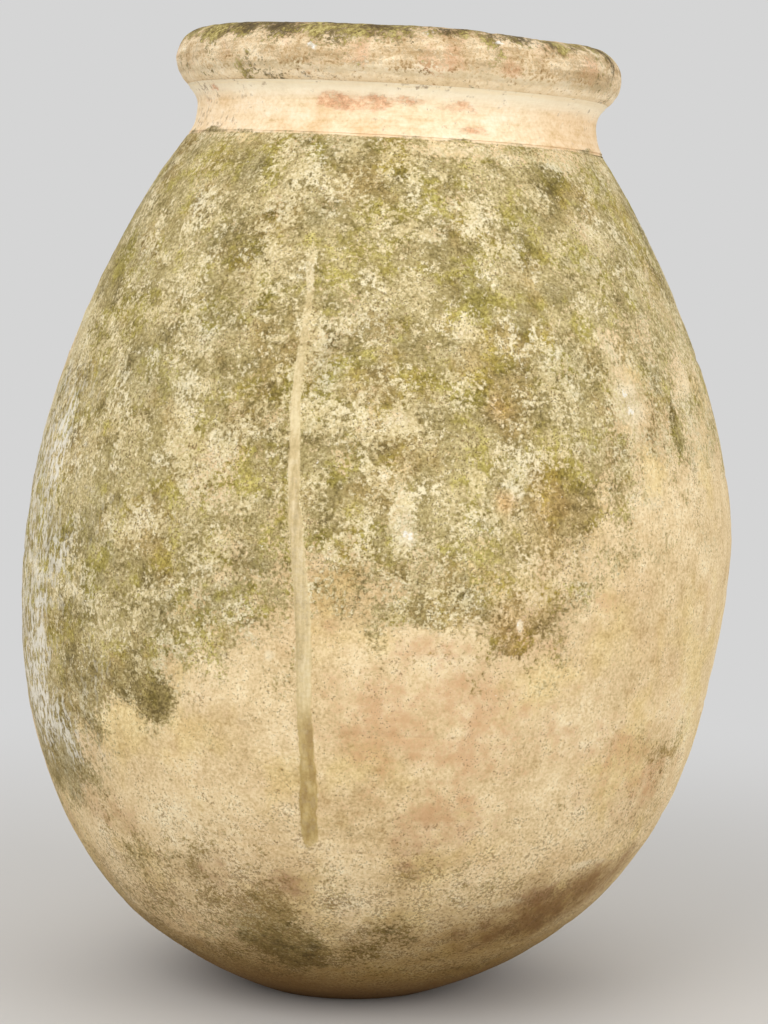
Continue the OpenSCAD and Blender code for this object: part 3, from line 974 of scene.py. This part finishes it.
class Section:
    """A closed outline of radius and height that is spun into a ring of clay.

    The outline is spun through one wedge, which is then doubled until the ring closes.
    """

    doublings = 5

    def __init__(self, surface: JarSurface) -> None:
        """Starts an empty outline.

        Args:
            surface: The jar's skin; not used.
        """
        self.surface = surface
        self.points: list[np.ndarray] = []
        self.skin: list[float] = []

    def add(self, line: np.ndarray, skin: float) -> "Section":
        """Adds points to the outline.

        Args:
            line: Radius and height of each point.
            skin: 1 for the weathered face, 0 for hidden faces.

        Returns:
            The section itself, so that calls can follow each other.
        """
        for point in np.atleast_2d(line):
            self.points.append(point)
            self.skin.append(skin)
        return self

    def spin(self, name: str, steps: int, closed: bool = True) -> bpy.types.Object:
        """Spins the outline about the jar's axis.

        Args:
            name: Name of the new piece.
            steps: Segments round the axis.
            closed: Whether the outline closes on itself, and not on the axis.

        Returns:
            The ring, upright, with its skin and place along the outline as layers.
        """
        bm = bmesh.new()
        skin_layer = bm.verts.layers.float.new("skin")
        along_layer = bm.verts.layers.float.new("along")
        line = np.array(self.points)
        gaps = np.linalg.norm(np.diff(line, axis=0), axis=1)
        run = np.concatenate([[0.0], np.cumsum(gaps)])
        marks = np.array(self.skin)
        span = run[marks > 0.5]
        verts = []
        for point, mark, place in zip(line, marks, run):
            vert = bm.verts.new((0.0, -point[0], point[1]))
            vert[skin_layer] = mark
            vert[along_layer] = (place - span[0]) / (span[-1] - span[0])
            verts.append(vert)
        pairs = list(zip(verts, verts[1:]))
        if closed:
            pairs.append((verts[-1], verts[0]))
        edges = [bm.edges.new(pair) for pair in pairs]
        bmesh.ops.spin(bm, geom=verts + edges, cent=(0, 0, 0), axis=(0, 0, 1), dvec=(0, 0, 0),
                       angle=2 * math.pi / 2 ** self.doublings, steps=steps // 2 ** self.doublings)
        for k in range(self.doublings):
            copied = bmesh.ops.duplicate(bm, geom=bm.verts[:] + bm.edges[:] + bm.faces[:])
            turned = [item for item in copied["geom"] if isinstance(item, bmesh.types.BMVert)]
            wedge = 2 * math.pi / 2 ** (self.doublings - k)
            bmesh.ops.rotate(bm, verts=turned, cent=(0, 0, 0), matrix=Matrix.Rotation(wedge, 3, "Z"))
        bmesh.ops.remove_doubles(bm, verts=bm.verts[:], dist=1e-6)
        bmesh.ops.recalc_face_normals(bm, faces=bm.faces[:])
        mesh = bpy.data.meshes.new(name)
        bm.to_mesh(mesh)
        bm.free()
        piece = bpy.data.objects.new(name, mesh)
        bpy.context.scene.collection.objects.link(piece)
        return piece


def read_points(mesh: bpy.types.Mesh) -> np.ndarray:
    """Gives the places of a mesh's vertices, n by 3."""
    flat = np.empty(len(mesh.vertices) * 3)
    mesh.vertices.foreach_get("co", flat)
    return flat.reshape(-1, 3)


def write_points(mesh: bpy.types.Mesh, points: np.ndarray) -> None:
    """Puts a mesh's vertices at new places."""
    mesh.vertices.foreach_set("co", points.ravel())
    mesh.update()


def read_layer(mesh: bpy.types.Mesh, name: str) -> np.ndarray:
    """Gives a float layer of a mesh, one value for each vertex."""
    values = np.empty(len(mesh.vertices))
    mesh.attributes[name].data.foreach_get("value", values)
    return values


def write_layer(mesh: bpy.types.Mesh, name: str, values: np.ndarray) -> None:
    """Writes a float layer of a mesh, one value for each vertex."""
    layer = mesh.attributes.get(name) or mesh.attributes.new(name, "FLOAT", "POINT")
    layer.data.foreach_set("value", values)


def fold_map(mesh: bpy.types.Mesh, points: np.ndarray, rows: int) -> None:
    """Unrolls a ring's skin into rows that fill the map, its hidden faces along the top.

    Args:
        mesh: The ring.
        points: Its vertices, upright.
        rows: How many rows the skin is folded into.
    """
    border = 0.006
    hidden_from = 0.94
    turn = np.arctan2(points[:, 0], -points[:, 1]) / (2 * math.pi) + 0.5
    skin = read_layer(mesh, "skin")
    along = read_layer(mesh, "along")
    count = len(mesh.loops)
    corner = np.empty(count, dtype=np.int64)
    mesh.loops.foreach_get("vertex_index", corner)
    starts = np.empty(len(mesh.polygons), dtype=np.int64)
    mesh.polygons.foreach_get("loop_start", starts)
    sizes = np.empty(len(mesh.polygons), dtype=np.int64)
    mesh.polygons.foreach_get("loop_total", sizes)
    face = np.repeat(np.arange(len(starts)), sizes)
    first = turn[corner[starts]][face]
    local = turn[corner]
    local = local + np.round(first - local)
    middle = np.add.reduceat(local, starts)[face] / sizes[face]
    row = np.clip(np.floor(middle * rows), 0, rows - 1)
    outside = (np.minimum.reduceat(skin[corner], starts) > 0.5)[face]
    u = np.where(outside, local * rows - row, local)
    place = np.clip(along[corner], 0.0, 1.0)
    v = np.where(outside, (row + place * (1 - border) + border / 2) / rows * hidden_from,
                 hidden_from + border + (1 - hidden_from - 2 * border) * np.abs(along[corner] % 1.0))
    layer = mesh.uv_layers.new(name=BAKE_UV)
    pairs = np.stack([np.clip(u, 0.0, 1.0) * (1 - border) + border / 2, v], axis=1)
    layer.data.foreach_set("uv", pairs.ravel())


def settle(piece: bpy.types.Object, material: bpy.types.Material, node: str) -> None:
    """Shades a finished piece and hands it to the frame in place of its node.

    Args:
        piece: The piece.
        material: Its finish.
        node: The construction's node that it stands for.
    """
    mesh = piece.data
    mesh.materials.clear()
    mesh.materials.append(material)
    mesh.polygons.foreach_set("use_smooth", np.ones(len(mesh.polygons), dtype=bool))
    mesh.set_sharp_from_angle(angle=math.radians(52))
    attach(piece, BODY)
    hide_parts(node)
    LOG.info("%s: %d faces", piece.name, len(mesh.polygons))


@dataclass
class Wall:
    """The floor slab and the seven lifts of the body, luted one on another."""

    surface: JarSurface
    skin_step: float = 0.0024
    hidden_step: float = 0.016
    steps: int = 960
    rows: int = 4
    names: tuple[tuple[str, str], ...] = (
        ("floor_slab", "foot_clay"), ("foot_lift", "foot_clay"),
        ("lower_body_lift", "foot_clay"), ("lower_belly_lift", "lime_worn_clay"),
        ("belly_lift", "lime_worn_clay"), ("upper_belly_lift", "lichened_clay"),
        ("shoulder_lift", "lichened_clay"), ("upper_shoulder_lift", "lichened_clay"))

    def split(self, line: np.ndarray, joint: float) -> tuple[np.ndarray, np.ndarray]:
        """Cuts a line where a bevelled joint crosses it.

        Args:
            line: Radius and height of each point, upwards.
            joint: Height of the joint on the outer face.

        Returns:
            The part below and the part above, both with the crossing point.
        """
        radius = float(self.surface.radius_at(np.array([joint]))[0])
        tilt = math.tan(math.radians(self.surface.shape.joint_tilt))
        over = line[:, 1] - joint - (radius - line[:, 0]) * tilt
        k = int(np.argmax(over > 0))
        share = over[k - 1] / (over[k - 1] - over[k])
        cross = line[k - 1] + share * (line[k] - line[k - 1])
        return np.vstack([line[:k], cross]), np.vstack([cross, line[k:]])

    def outline(self, index: int) -> tuple[np.ndarray, np.ndarray]:
        """Gives the outer and inner lines of one ring.

        Args:
            index: 0 for the slab, then the lifts upwards.

        Returns:
            The outer line and the inner line, both upwards.
        """
        shape = self.surface.shape
        outer = shape.outer_line()
        inner = shape.inner_line(shape.wall, shape.floor, shape.mouth_radius)
        if index > 0:
            outer = self.split(outer, shape.joints[index - 1])[1]
            inner = self.split(inner, shape.joints[index - 1])[1]
        return self.split(outer, shape.joints[index])[0], self.split(inner, shape.joints[index])[0]

    def dress(self, piece: bpy.types.Object) -> None:
        """Gives a ring its relief and coats, and stands it in its place.

        Args:
            piece: The upright ring.
        """
        mesh = piece.data
        plain = read_points(mesh)
        fold_map(mesh, plain, self.rows)
        coats = self.surface.coats(plain)
        skin = read_layer(mesh, "skin")
        sole = ease(plain[:, 2], 0.006, 0.040)
        rise = self.surface.relief(plain, coats[Coat.GROWTH]) * skin * sole
        write_points(mesh, self.surface.stand(self.surface.push(plain, rise)))
        for coat, density in coats.items():
            write_layer(mesh, coat.value, density)

    def flatten(self, piece: bpy.types.Object) -> None:
        """Cuts the foot flat on the floor and closes it.

        Args:
            piece: The leaning slab.
        """
        bm = bmesh.new()
        bm.from_mesh(piece.data)
        bmesh.ops.bisect_plane(bm, geom=bm.verts[:] + bm.edges[:] + bm.faces[:], dist=1e-7,
                               plane_co=(0, 0, 0), plane_no=(0, 0, -1), clear_outer=True)
        rim = [edge for edge in bm.edges if edge.is_boundary]
        bmesh.ops.edgeloop_fill(bm, edges=rim)
        bm.to_mesh(piece.data)
        bm.free()

    def build(self, material: bpy.types.Material) -> None:
        """Makes the slab and the lifts.

        Args:
            material: The weathered finish that they share.
        """
        for index, (node, slot) in enumerate(self.names):
            outer, inner = self.outline(index)
            section = Section(self.surface)
            section.add(resample(outer, self.skin_step), 1.0)
            section.add(resample(inner, self.hidden_step)[::-1], 0.0)
            piece = section.spin(f"{node}_clay", self.steps, closed=index > 0)
            self.dress(piece)
            if index == 0:
                self.flatten(piece)
            settle(piece, material, node)


@dataclass
class Neck:
    """The short neck and the pale slip round it."""

    surface: JarSurface
    skin_step: float = 0.0022
    steps: int = 768
    rows: int = 4
    ripple: float = 0.0007
    creep: float = 0.869
    worn: tuple[Patch, ...] = (
        Patch(-13, 0.893, 0.048, 0.0125, 1.3), Patch(17, 0.894, 0.026, 0.0080, 0.9),
        Patch(3, 0.898, 0.020, 0.0055, 0.8), Patch(20, 0.874, 0.034, 0.006, 0.7),
        Patch(-66, 0.894, 0.014, 0.010, 0.5),
        Patch(56, 0.897, 0.018, 0.010, 0.3), Patch(-62, 0.906, 0.016, 0.006, 0.7),
        Patch(110, 0.890, 0.040, 0.009, 0.9), Patch(-150, 0.893, 0.050, 0.008, 0.9),
        Patch(165, 0.886, 0.020, 0.010, 0.7), Patch(-105, 0.884, 0.030, 0.006, 0.7))

    def shade(self, piece: bpy.types.Object, plain: np.ndarray) -> None:
        """Writes where the slip is worn through, where dirt lies on it, and the band under the rim's seat that
        gets painted light.

        Args:
            piece: The slip.
            plain: Its upright places.
        """
        turn = np.degrees(np.arctan2(plain[:, 0], -plain[:, 1]))
        warp = np.stack([mottle(plain, 40.0, 21), mottle(plain, 40.0, 22)], axis=1)
        worn = np.zeros(len(plain))
        for spot in self.worn:
            side = (turn - spot.turn + 180.0) % 360.0 - 180.0
            across = np.radians(side) * self.surface.shape.neck_radius / spot.across
            tall = (plain[:, 2] - spot.height) / spot.tall
            gap = np.hypot(across + 0.4 * warp[:, 0], tall + 0.4 * warp[:, 1])
            worn += spot.strength * (1.0 - ease(gap, 0.1, 1.35))
        turn_left = 1 - ease(np.abs(turn + 60.0), 10.0, 26.0)
        turn_right = 1 - ease(np.abs(turn - 66.0), 12.0, 34.0)
        broad = ease(mottle(plain, 9.0, 23), 0.0, 0.8)
        creep = ease(self.creep - plain[:, 2] + 0.004 * warp[:, 0], 0.0, 0.006)
        for coat, density in self.surface.coats(plain).items():
            write_layer(piece.data, coat.value, density)
        dusty = np.clip(0.25 * creep + 0.45 * turn_left + 0.35 * broad, 0, 1)
        seat = self.surface.shape.seat_height
        # Painted light: the band under the rim's seat, which the roll shades, is marked for lightening.
        write_layer(piece.data, Coat.LIME.value, ease(plain[:, 2], seat - 0.020, seat - 0.004))
        write_layer(piece.data, Coat.BLUSH.value, np.clip(worn, 0, 1))
        write_layer(piece.data, Coat.MOSS.value, dusty)
        write_layer(piece.data, Coat.STAIN.value, np.clip(0.5 * turn_left + turn_right, 0, 1))
        write_layer(piece.data, Coat.GROWTH.value, creep)

    def lay(self, section: Section, node: str, material: bpy.types.Material,
            rise: float) -> bpy.types.Object:
        """Spins one ring of the neck, ripples its skin and stands it.

        Args:
            section: The ring's outline.
            node: The construction's node.
            material: Its finish.
            rise: Depth of the ripple.

        Returns:
            The ring in its place.
        """
        piece = section.spin(f"{node}_ring", self.steps)
        plain = read_points(piece.data)
        fold_map(piece.data, plain, self.rows)
        self.shade(piece, plain)
        skin = read_layer(piece.data, "skin")
        turn = np.arctan2(plain[:, 0], -plain[:, 1])
        ripple = rise * skin * mottle(plain, (6.0, 6.0, 70.0), 24, 2)
        ripple += self.surface.wobble * mottle(plain, 2.6, 11, 2)
        plain[:, 0] += ripple * np.sin(turn)
        plain[:, 1] -= ripple * np.cos(turn)
        write_points(piece.data, self.surface.stand(plain))
        settle(piece, material, node)
        return piece

    def build(self, clay: bpy.types.Material, slip: bpy.types.Material) -> None:
        """Makes the collar of clay and its slip.

        Args:
            clay: Finish of the bare clay.
            slip: Finish of the slip.
        """
        shape = self.surface.shape
        wall = Wall(self.surface)
        outer = wall.split(shape.outer_line(), shape.neck_height)[1]
        inner = wall.split(np.vstack([
            shape.inner_line(shape.wall, shape.floor, shape.mouth_radius),
            [[shape.mouth_radius, shape.seat_height]]]), shape.neck_height)[1]
        collar = Section(self.surface).add(resample(outer, 0.004), 1.0)
        collar.add(resample(inner, 0.006)[::-1], 0.0)
        self.lay(collar, "neck_collar", clay, 0.0)
        face = shape.neck_line(shape.slip)
        back = shape.neck_line(0.0)
        low = shape.neck_height + shape.slip_margin
        high = shape.seat_height - shape.slip_margin
        face, back = (self.trim(line, low, high) for line in (face, back))
        coat = Section(self.surface).add(resample(face, self.skin_step), 1.0)
        coat.add(resample(back, 0.008)[::-1], 0.0)
        self.lay(coat, "neck_slip", slip, self.ripple)

    @staticmethod
    def trim(line: np.ndarray, low: float, high: float) -> np.ndarray:
        """Keeps the part of a line between two heights."""
        inside = line[(line[:, 1] > low) & (line[:, 1] < high)]
        ends = [[float(np.interp(z, line[:, 1], line[:, 0])), z] for z in (low, high)]
        return np.vstack([ends[0], inside, ends[1]])


@dataclass
class Rim:
    """The rolled rim, a round roll of clay on a short stub."""

    surface: JarSurface
    steps: int = 960
    arc_points: int = 84
    rows: int = 3
    dent: float = 0.0018
    sag: float = 0.0026
    sag_turn: float = 42.0
    chips: int = 90
    dirty: tuple[Patch, ...] = (
        Patch(58, 0.932, 0.070, 0.016, 0.8), Patch(20, 0.934, 0.060, 0.010, 0.5),
        Patch(-24, 0.936, 0.050, 0.010, 0.6), Patch(-62, 0.940, 0.040, 0.014, 0.5),
        Patch(120, 0.936, 0.080, 0.014, 0.7), Patch(-130, 0.938, 0.090, 0.014, 0.7),
        Patch(178, 0.934, 0.060, 0.012, 0.6))
    limed: tuple[Patch, ...] = (
        Patch(7, 0.961, 0.012, 0.005, 0.55), Patch(24, 0.957, 0.016, 0.004, 0.50),
        Patch(-22, 0.944, 0.010, 0.006, 0.5), Patch(140, 0.958, 0.014, 0.006, 0.5),
        Patch(-120, 0.955, 0.016, 0.008, 0.7))

    def outline(self) -> np.ndarray:
        """Follows the roll's section from its seat, out over the top and down the mouth.

        Returns:
            Radius and height of each point.
        """
        shape = self.surface.shape
        start = -math.radians(shape.flare)
        end = math.pi - math.acos((shape.roll_middle - shape.mouth_radius) / shape.roll_radius)
        turn = np.linspace(start, end, self.arc_points)
        arc = np.stack([shape.roll_middle + shape.roll_radius * np.cos(turn),
                        shape.roll_height + shape.roll_radius * np.sin(turn)], axis=1)
        throat = [[shape.mouth_radius, shape.seat_height + 0.012]]
        return np.vstack([arc, throat])

    def build(self, material: bpy.types.Material) -> None:
        """Makes the rim with its dents and chips.

        Args:
            material: Its finish.
        """
        shape = self.surface.shape
        seat = [[shape.mouth_radius, shape.seat_height]]
        section = Section(self.surface).add(self.outline(), 1.0).add(np.array(seat), 0.0)
        piece = section.spin("rolled_rim_clay", self.steps)
        plain = read_points(piece.data)
        fold_map(piece.data, plain, self.rows)
        skin = read_layer(piece.data, "skin")
        turn = np.arctan2(plain[:, 0], -plain[:, 1])
        radius = np.hypot(plain[:, 0], plain[:, 1])
        tip = np.arctan2(plain[:, 2] - shape.roll_height, radius - shape.roll_middle)
        rise = self.dent * mottle(plain, 11.0, 31, 3)
        rise += 0.0008 * mottle(plain, (7.0, 7.0, 60.0), 32, 2)
        rise += 0.0004 * mottle(plain, 130.0, 33, 2)
        groove = (np.degrees(tip) + 34.0 + 5.0 * mottle(plain, 6.0, 34, 2)) / 7.0
        rise -= 0.0004 * np.exp(-groove * groove)
        draw = np.random.default_rng(7)
        spots = draw.uniform(-math.pi, math.pi, self.chips), draw.uniform(-0.6, 2.2, self.chips)
        sizes = draw.uniform(0.003, 0.008, self.chips)
        for k in range(self.chips):
            side = (turn - spots[0][k] + math.pi) % (2 * math.pi) - math.pi
            gap = np.hypot(side * radius, (tip - spots[1][k]) * shape.roll_radius) / sizes[k]
            rise -= 0.16 * sizes[k] * np.exp(-(gap ** 4))
        side = (np.degrees(turn) - self.sag_turn + 180.0) % 360.0 - 180.0
        rise -= self.sag * np.exp(-(side / 26.0) ** 2) * np.maximum(0.0, np.sin(tip))
        rise *= skin * ease(plain[:, 2], shape.seat_height, shape.seat_height + 0.006)
        rise *= np.where(radius < shape.mouth_radius + 0.001, 0.0, 1.0)
        plain[:, 0] += rise * np.cos(tip) * np.sin(turn)
        plain[:, 1] -= rise * np.cos(tip) * np.cos(turn)
        plain[:, 2] += rise * np.sin(tip)
        top = ease(np.degrees(tip), 4.0, 56.0) * (1.0 - 0.4 * ease(np.degrees(tip), 120.0, 165.0))
        blotch = mottle(plain, 14.0, 35, 3)
        # The roll's underside, where the rim material lays slip colour lightened as painted light.
        under = 1.0 - ease(np.degrees(tip) + 6.0 * blotch, -40.0, -6.0)
        for coat, spots in ((Coat.LIME, self.limed), (Coat.STREAK, self.dirty)):
            laid = np.zeros(len(plain))
            for spot in spots:
                side = (np.degrees(turn) - spot.turn + 180.0) % 360.0 - 180.0
                across = np.radians(side) * radius / spot.across
                gap = np.hypot(across, (plain[:, 2] - spot.height) / spot.tall)
                laid += spot.strength * (1.0 - ease(gap, 0.3, 1.3))
            write_layer(piece.data, coat.value, np.clip(laid, 0, 1))
        write_layer(piece.data, Coat.MOSS.value, np.clip(0.82 * top + 0.30 * blotch, 0, 1))
        write_layer(piece.data, Coat.STAIN.value, np.clip(under, 0, 1))
        lute = np.exp(-((np.degrees(tip) + 28.0 - 6.0 * blotch) / 9.0) ** 2)
        write_layer(piece.data, Coat.GROWTH.value, np.clip(lute, 0, 1))
        write_points(piece.data, self.surface.stand(plain))
        settle(piece, material, "rolled_rim")


@dataclass
class Lining:
    """The glaze inside, over the ridges that the potter's fingers left."""

    surface: JarSurface
    steps: int = 416
    step: float = 0.006
    ridge: float = 0.0011
    pitch: float = 0.030

    def build(self, material: bpy.types.Material) -> None:
        """Makes the lining.

        Args:
            material: Its finish.
        """
        shape = self.surface.shape
        face = shape.inner_line(shape.wall + shape.glaze, shape.floor + shape.glaze,
                                shape.mouth_radius - shape.glaze)
        back = shape.inner_line(shape.wall, shape.floor, shape.mouth_radius)
        top = back[-1, 1]
        face = face[face[:, 1] < top]
        section = Section(self.surface).add(resample(face, self.step), 1.0)
        section.add(resample(back, 0.020)[::-1], 0.0)
        piece = section.spin("glaze_lining_coat", self.steps, closed=False)
        plain = read_points(piece.data)
        fold_map(piece.data, plain, 2)
        skin = read_layer(piece.data, "skin")
        turn = np.arctan2(plain[:, 0], -plain[:, 1])
        swirl = plain[:, 2] / self.pitch + 0.5 * mottle(plain, 3.0, 41, 2)
        rise = self.ridge * np.maximum(0.0, np.sin(2 * math.pi * swirl)) * skin
        rise *= ease(plain[:, 2], shape.floor + 0.01, shape.floor + 0.05)
        plain[:, 0] -= rise * np.sin(turn)
        plain[:, 1] += rise * np.cos(turn)
        write_points(piece.data, self.surface.stand(plain))
        settle(piece, material, "glaze_lining")


@dataclass
class Run:
    """The long run down the front, lying on the wall as it undulates."""

    surface: JarSurface
    top: float = 0.775
    end: float = 0.194
    head_width: float = 0.009
    foot_width: float = 0.023
    path_heights: tuple[float, ...] = (0.19, 0.25, 0.30, 0.35, 0.39, 0.44, 0.53, 0.62, 0.71, 0.78)
    path_turns: tuple[float, ...] = (
        -7.2, -7.6, -8.1, -8.8, -9.5, -10.6, -13.2, -14.5, -14.4, -16.2)
    thickness: float = 0.0011
    sunk: float = 0.0008
    across: int = 10
    down: int = 300

    def build(self, material: bpy.types.Material) -> None:
        """Makes the run as a thin closed ribbon.

        Args:
            material: Its finish.
        """
        bm = bmesh.new()
        bmesh.ops.create_grid(bm, x_segments=self.across, y_segments=self.down, size=1.0)
        mesh = bpy.data.meshes.new("glaze_run_ribbon")
        bm.to_mesh(mesh)
        bm.free()
        flat = read_points(mesh)
        side = flat[:, 0]
        share = (1.0 - flat[:, 1]) / 2.0
        height = self.top + (self.end - self.top) * share
        width = self.head_width + (self.foot_width - self.head_width) * share
        tail = np.clip((height - self.end) / (1.8 * width), 0.02, 1.0)
        width = width * np.sqrt(1.0 - (1.0 - tail) ** 2)
        centre = np.interp(height, self.path_heights, self.path_turns)
        radius = self.surface.radius_at(height)
        wander = np.stack([height * 9.0, height * 0.0, height * 0.0], axis=1)
        width = width * (1.0 + 0.22 * mottle(wander, 6.0, 51, 3))
        shift = 0.0016 * mottle(wander, 1.6, 52, 2)
        turn = np.radians(centre) + (side * width / 2 + shift) / radius
        plain = np.stack([radius * np.sin(turn), -radius * np.cos(turn), height], axis=1)
        crown = np.sqrt(np.clip(1.0 - np.abs(side) ** 2.5, 0.0, 1.0))
        rise = self.surface.relief(plain, 0.2 * np.ones(len(plain)))
        proud = self.thickness * (crown * 1.2 - 0.2) * (0.55 + 0.45 * ease(share, 0.2, 0.6))
        face = self.surface.stand(self.surface.push(plain, rise + proud))
        back = self.surface.stand(self.surface.push(plain, rise - self.sunk))
        write_points(mesh, face)
        for coat, density in self.surface.coats(plain).items():
            write_layer(mesh, coat.value, density)
        edge = 1.0 - ease(np.abs(side), 0.50, 1.0)
        ends = ease(share, -0.02, 0.10) * (1.0 - 0.8 * ease(share, 0.955, 1.0))
        write_layer(mesh, Coat.LIME.value, edge * ends * (0.45 + 0.55 * ease(share, 0.10, 0.45)))
        bm = bmesh.new()
        bm.from_mesh(mesh)
        bm.verts.ensure_lookup_table()
        count = len(bm.verts)
        copied = bmesh.ops.duplicate(bm, geom=bm.faces[:])
        matched = copied["vert_map"]
        bm.verts.ensure_lookup_table()
        for index in range(count):
            matched[bm.verts[index]].co = back[index]
        twins = [item for item in copied["geom"] if isinstance(item, bmesh.types.BMFace)]
        bmesh.ops.reverse_faces(bm, faces=twins)
        rim = [edge for edge in bm.edges if edge.is_boundary]
        bmesh.ops.bridge_loops(bm, edges=rim)
        bmesh.ops.recalc_face_normals(bm, faces=bm.faces[:])
        bm.to_mesh(mesh)
        bm.free()
        piece = bpy.data.objects.new("glaze_run_ribbon", mesh)
        bpy.context.scene.collection.objects.link(piece)
        settle(piece, material, "glaze_run")


@dataclass
class Studio:
    """The camera, the soft lights and the pale floor."""

    distance: float = 2.8
    eye_height: float = 0.750
    aside: float = 0.030
    pitch: float = 5.37
    roll: float = 1.11
    yaw: float = -0.079
    lens: float = 95.5
    backdrop: tuple = paint(213, 213, 213)
    floor_colour: tuple = paint(205, 203, 200)
    key_power: float = 52.0
    fill_power: float = 30.0
    back_power: float = 10.0
    sky: float = 0.74

    def camera(self) -> None:
        """Places the camera at the photograph's viewpoint."""
        pitch, roll, yaw = (math.radians(a) for a in (self.pitch, self.roll, self.yaw))
        right = Vector((math.cos(yaw), -math.sin(yaw), 0))
        level = Vector((math.sin(yaw), math.cos(yaw), 0))
        ahead = level * math.cos(pitch) - Vector((0, 0, math.sin(pitch)))
        up = level * math.sin(pitch) + Vector((0, 0, math.cos(pitch)))
        rolled_right = right * math.cos(roll) + up * math.sin(roll)
        rolled_up = up * math.cos(roll) - right * math.sin(roll)
        data = bpy.data.cameras.new("view")
        data.lens = self.lens
        data.clip_end = 60.0
        camera = bpy.data.objects.new("view", data)
        bpy.context.scene.collection.objects.link(camera)
        turn = Matrix((rolled_right, rolled_up, -ahead)).transposed().to_4x4()
        camera.matrix_world = Matrix.Translation((self.aside, -self.distance, self.eye_height)) @ turn
        bpy.context.scene.camera = camera

    def lamp(self, name: str, place: tuple[float, float, float], size: float, power: float) -> None:
        """Adds one square soft light that faces the jar.

        Args:
            name: Name of the light.
            place: Where it stands.
            size: Side of the square.
            power: Its power in watts.
        """
        data = bpy.data.lights.new(name, "AREA")
        data.size = size
        data.energy = power
        lamp = bpy.data.objects.new(name, data)
        bpy.context.scene.collection.objects.link(lamp)
        lamp.location = place
        aim = Vector((0, 0, 0.5)) - Vector(place)
        lamp.rotation_euler = aim.to_track_quat("-Z", "Y").to_euler()

    def world(self) -> None:
        """Lights the air evenly, with the pale backdrop for the camera and reflections."""
        world = bpy.data.worlds.new("air")
        world.use_nodes = True
        bpy.context.scene.world = world
        nodes, links = world.node_tree.nodes, world.node_tree.links
        path = nodes.new("ShaderNodeLightPath")
        light = nodes["Background"]
        light.inputs["Color"].default_value = (1.0, 1.0, 1.0, 1.0)
        light.inputs["Strength"].default_value = self.sky
        seen = nodes.new("ShaderNodeBackground")
        seen.inputs["Color"].default_value = self.backdrop
        either = nodes.new("ShaderNodeMath")
        either.operation = "MAXIMUM"
        choose = nodes.new("ShaderNodeMixShader")
        links.new(path.outputs["Is Camera Ray"], either.inputs[0])
        links.new(path.outputs["Is Glossy Ray"], either.inputs[1])
        links.new(either.outputs[0], choose.inputs["Fac"])
        links.new(light.outputs[0], choose.inputs[1])
        links.new(seen.outputs[0], choose.inputs[2])
        links.new(choose.outputs[0], nodes["World Output"].inputs["Surface"])

    def floor(self) -> None:
        """Lays a round pale floor that fades into the backdrop away from the jar."""
        bm = bmesh.new()
        bmesh.ops.create_circle(bm, cap_ends=True, segments=96, radius=9.0)
        mesh = bpy.data.meshes.new("floor")
        bm.to_mesh(mesh)
        bm.free()
        floor = bpy.data.objects.new("floor", mesh)
        bpy.context.scene.collection.objects.link(floor)
        b = Bench("pale_floor")
        gap = b.tree.nodes.new("ShaderNodeVectorMath")
        gap.operation = "LENGTH"
        b.join(b.coords, gap.inputs[0])
        far = b.ramp(gap.outputs["Value"], 0.55, 1.7)
        b.shader.inputs["Base Color"].default_value = self.floor_colour
        b.shader.inputs["Roughness"].default_value = 0.9
        glow = b.tree.nodes.new("ShaderNodeEmission")
        glow.inputs["Color"].default_value = self.backdrop
        path = b.tree.nodes.new("ShaderNodeLightPath")
        share = b.sum("MULTIPLY", far, path.outputs["Is Camera Ray"])
        choose = b.tree.nodes.new("ShaderNodeMixShader")
        b.join(share, choose.inputs["Fac"])
        b.join(b.shader.outputs[0], choose.inputs[1])
        b.join(glow.outputs[0], choose.inputs[2])
        b.join(choose.outputs[0], b.tree.nodes["Material Output"].inputs["Surface"])
        mesh.materials.append(b.material)

    def build(self) -> None:
        """Sets the camera, the lights, the air and the floor."""
        self.camera()
        self.lamp("key", (-1.5, -2.6, 2.3), 2.4, self.key_power)
        self.lamp("fill", (2.4, -1.8, 1.4), 2.0, self.fill_power)
        self.lamp("back", (0.4, 2.8, 2.4), 2.4, self.back_power)
        self.world()
        self.floor()
        bpy.context.scene.view_settings.view_transform = "Standard"


def main() -> None:
    """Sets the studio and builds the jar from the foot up."""
    logging.basicConfig(level=logging.INFO, format="%(name)s %(message)s")
    Studio().build()
    surface = JarSurface()
    Wall(surface).build(WeatheredWall().mix())
    Neck(surface).build(BareClay().mix(), ChalkySlip().mix())
    Rim(surface).build(RimClay().mix())
    Lining(surface).build(InnerGlaze().mix())
    Run(surface).build(RunGlaze().mix())


if __name__ == "__main__":
    main()
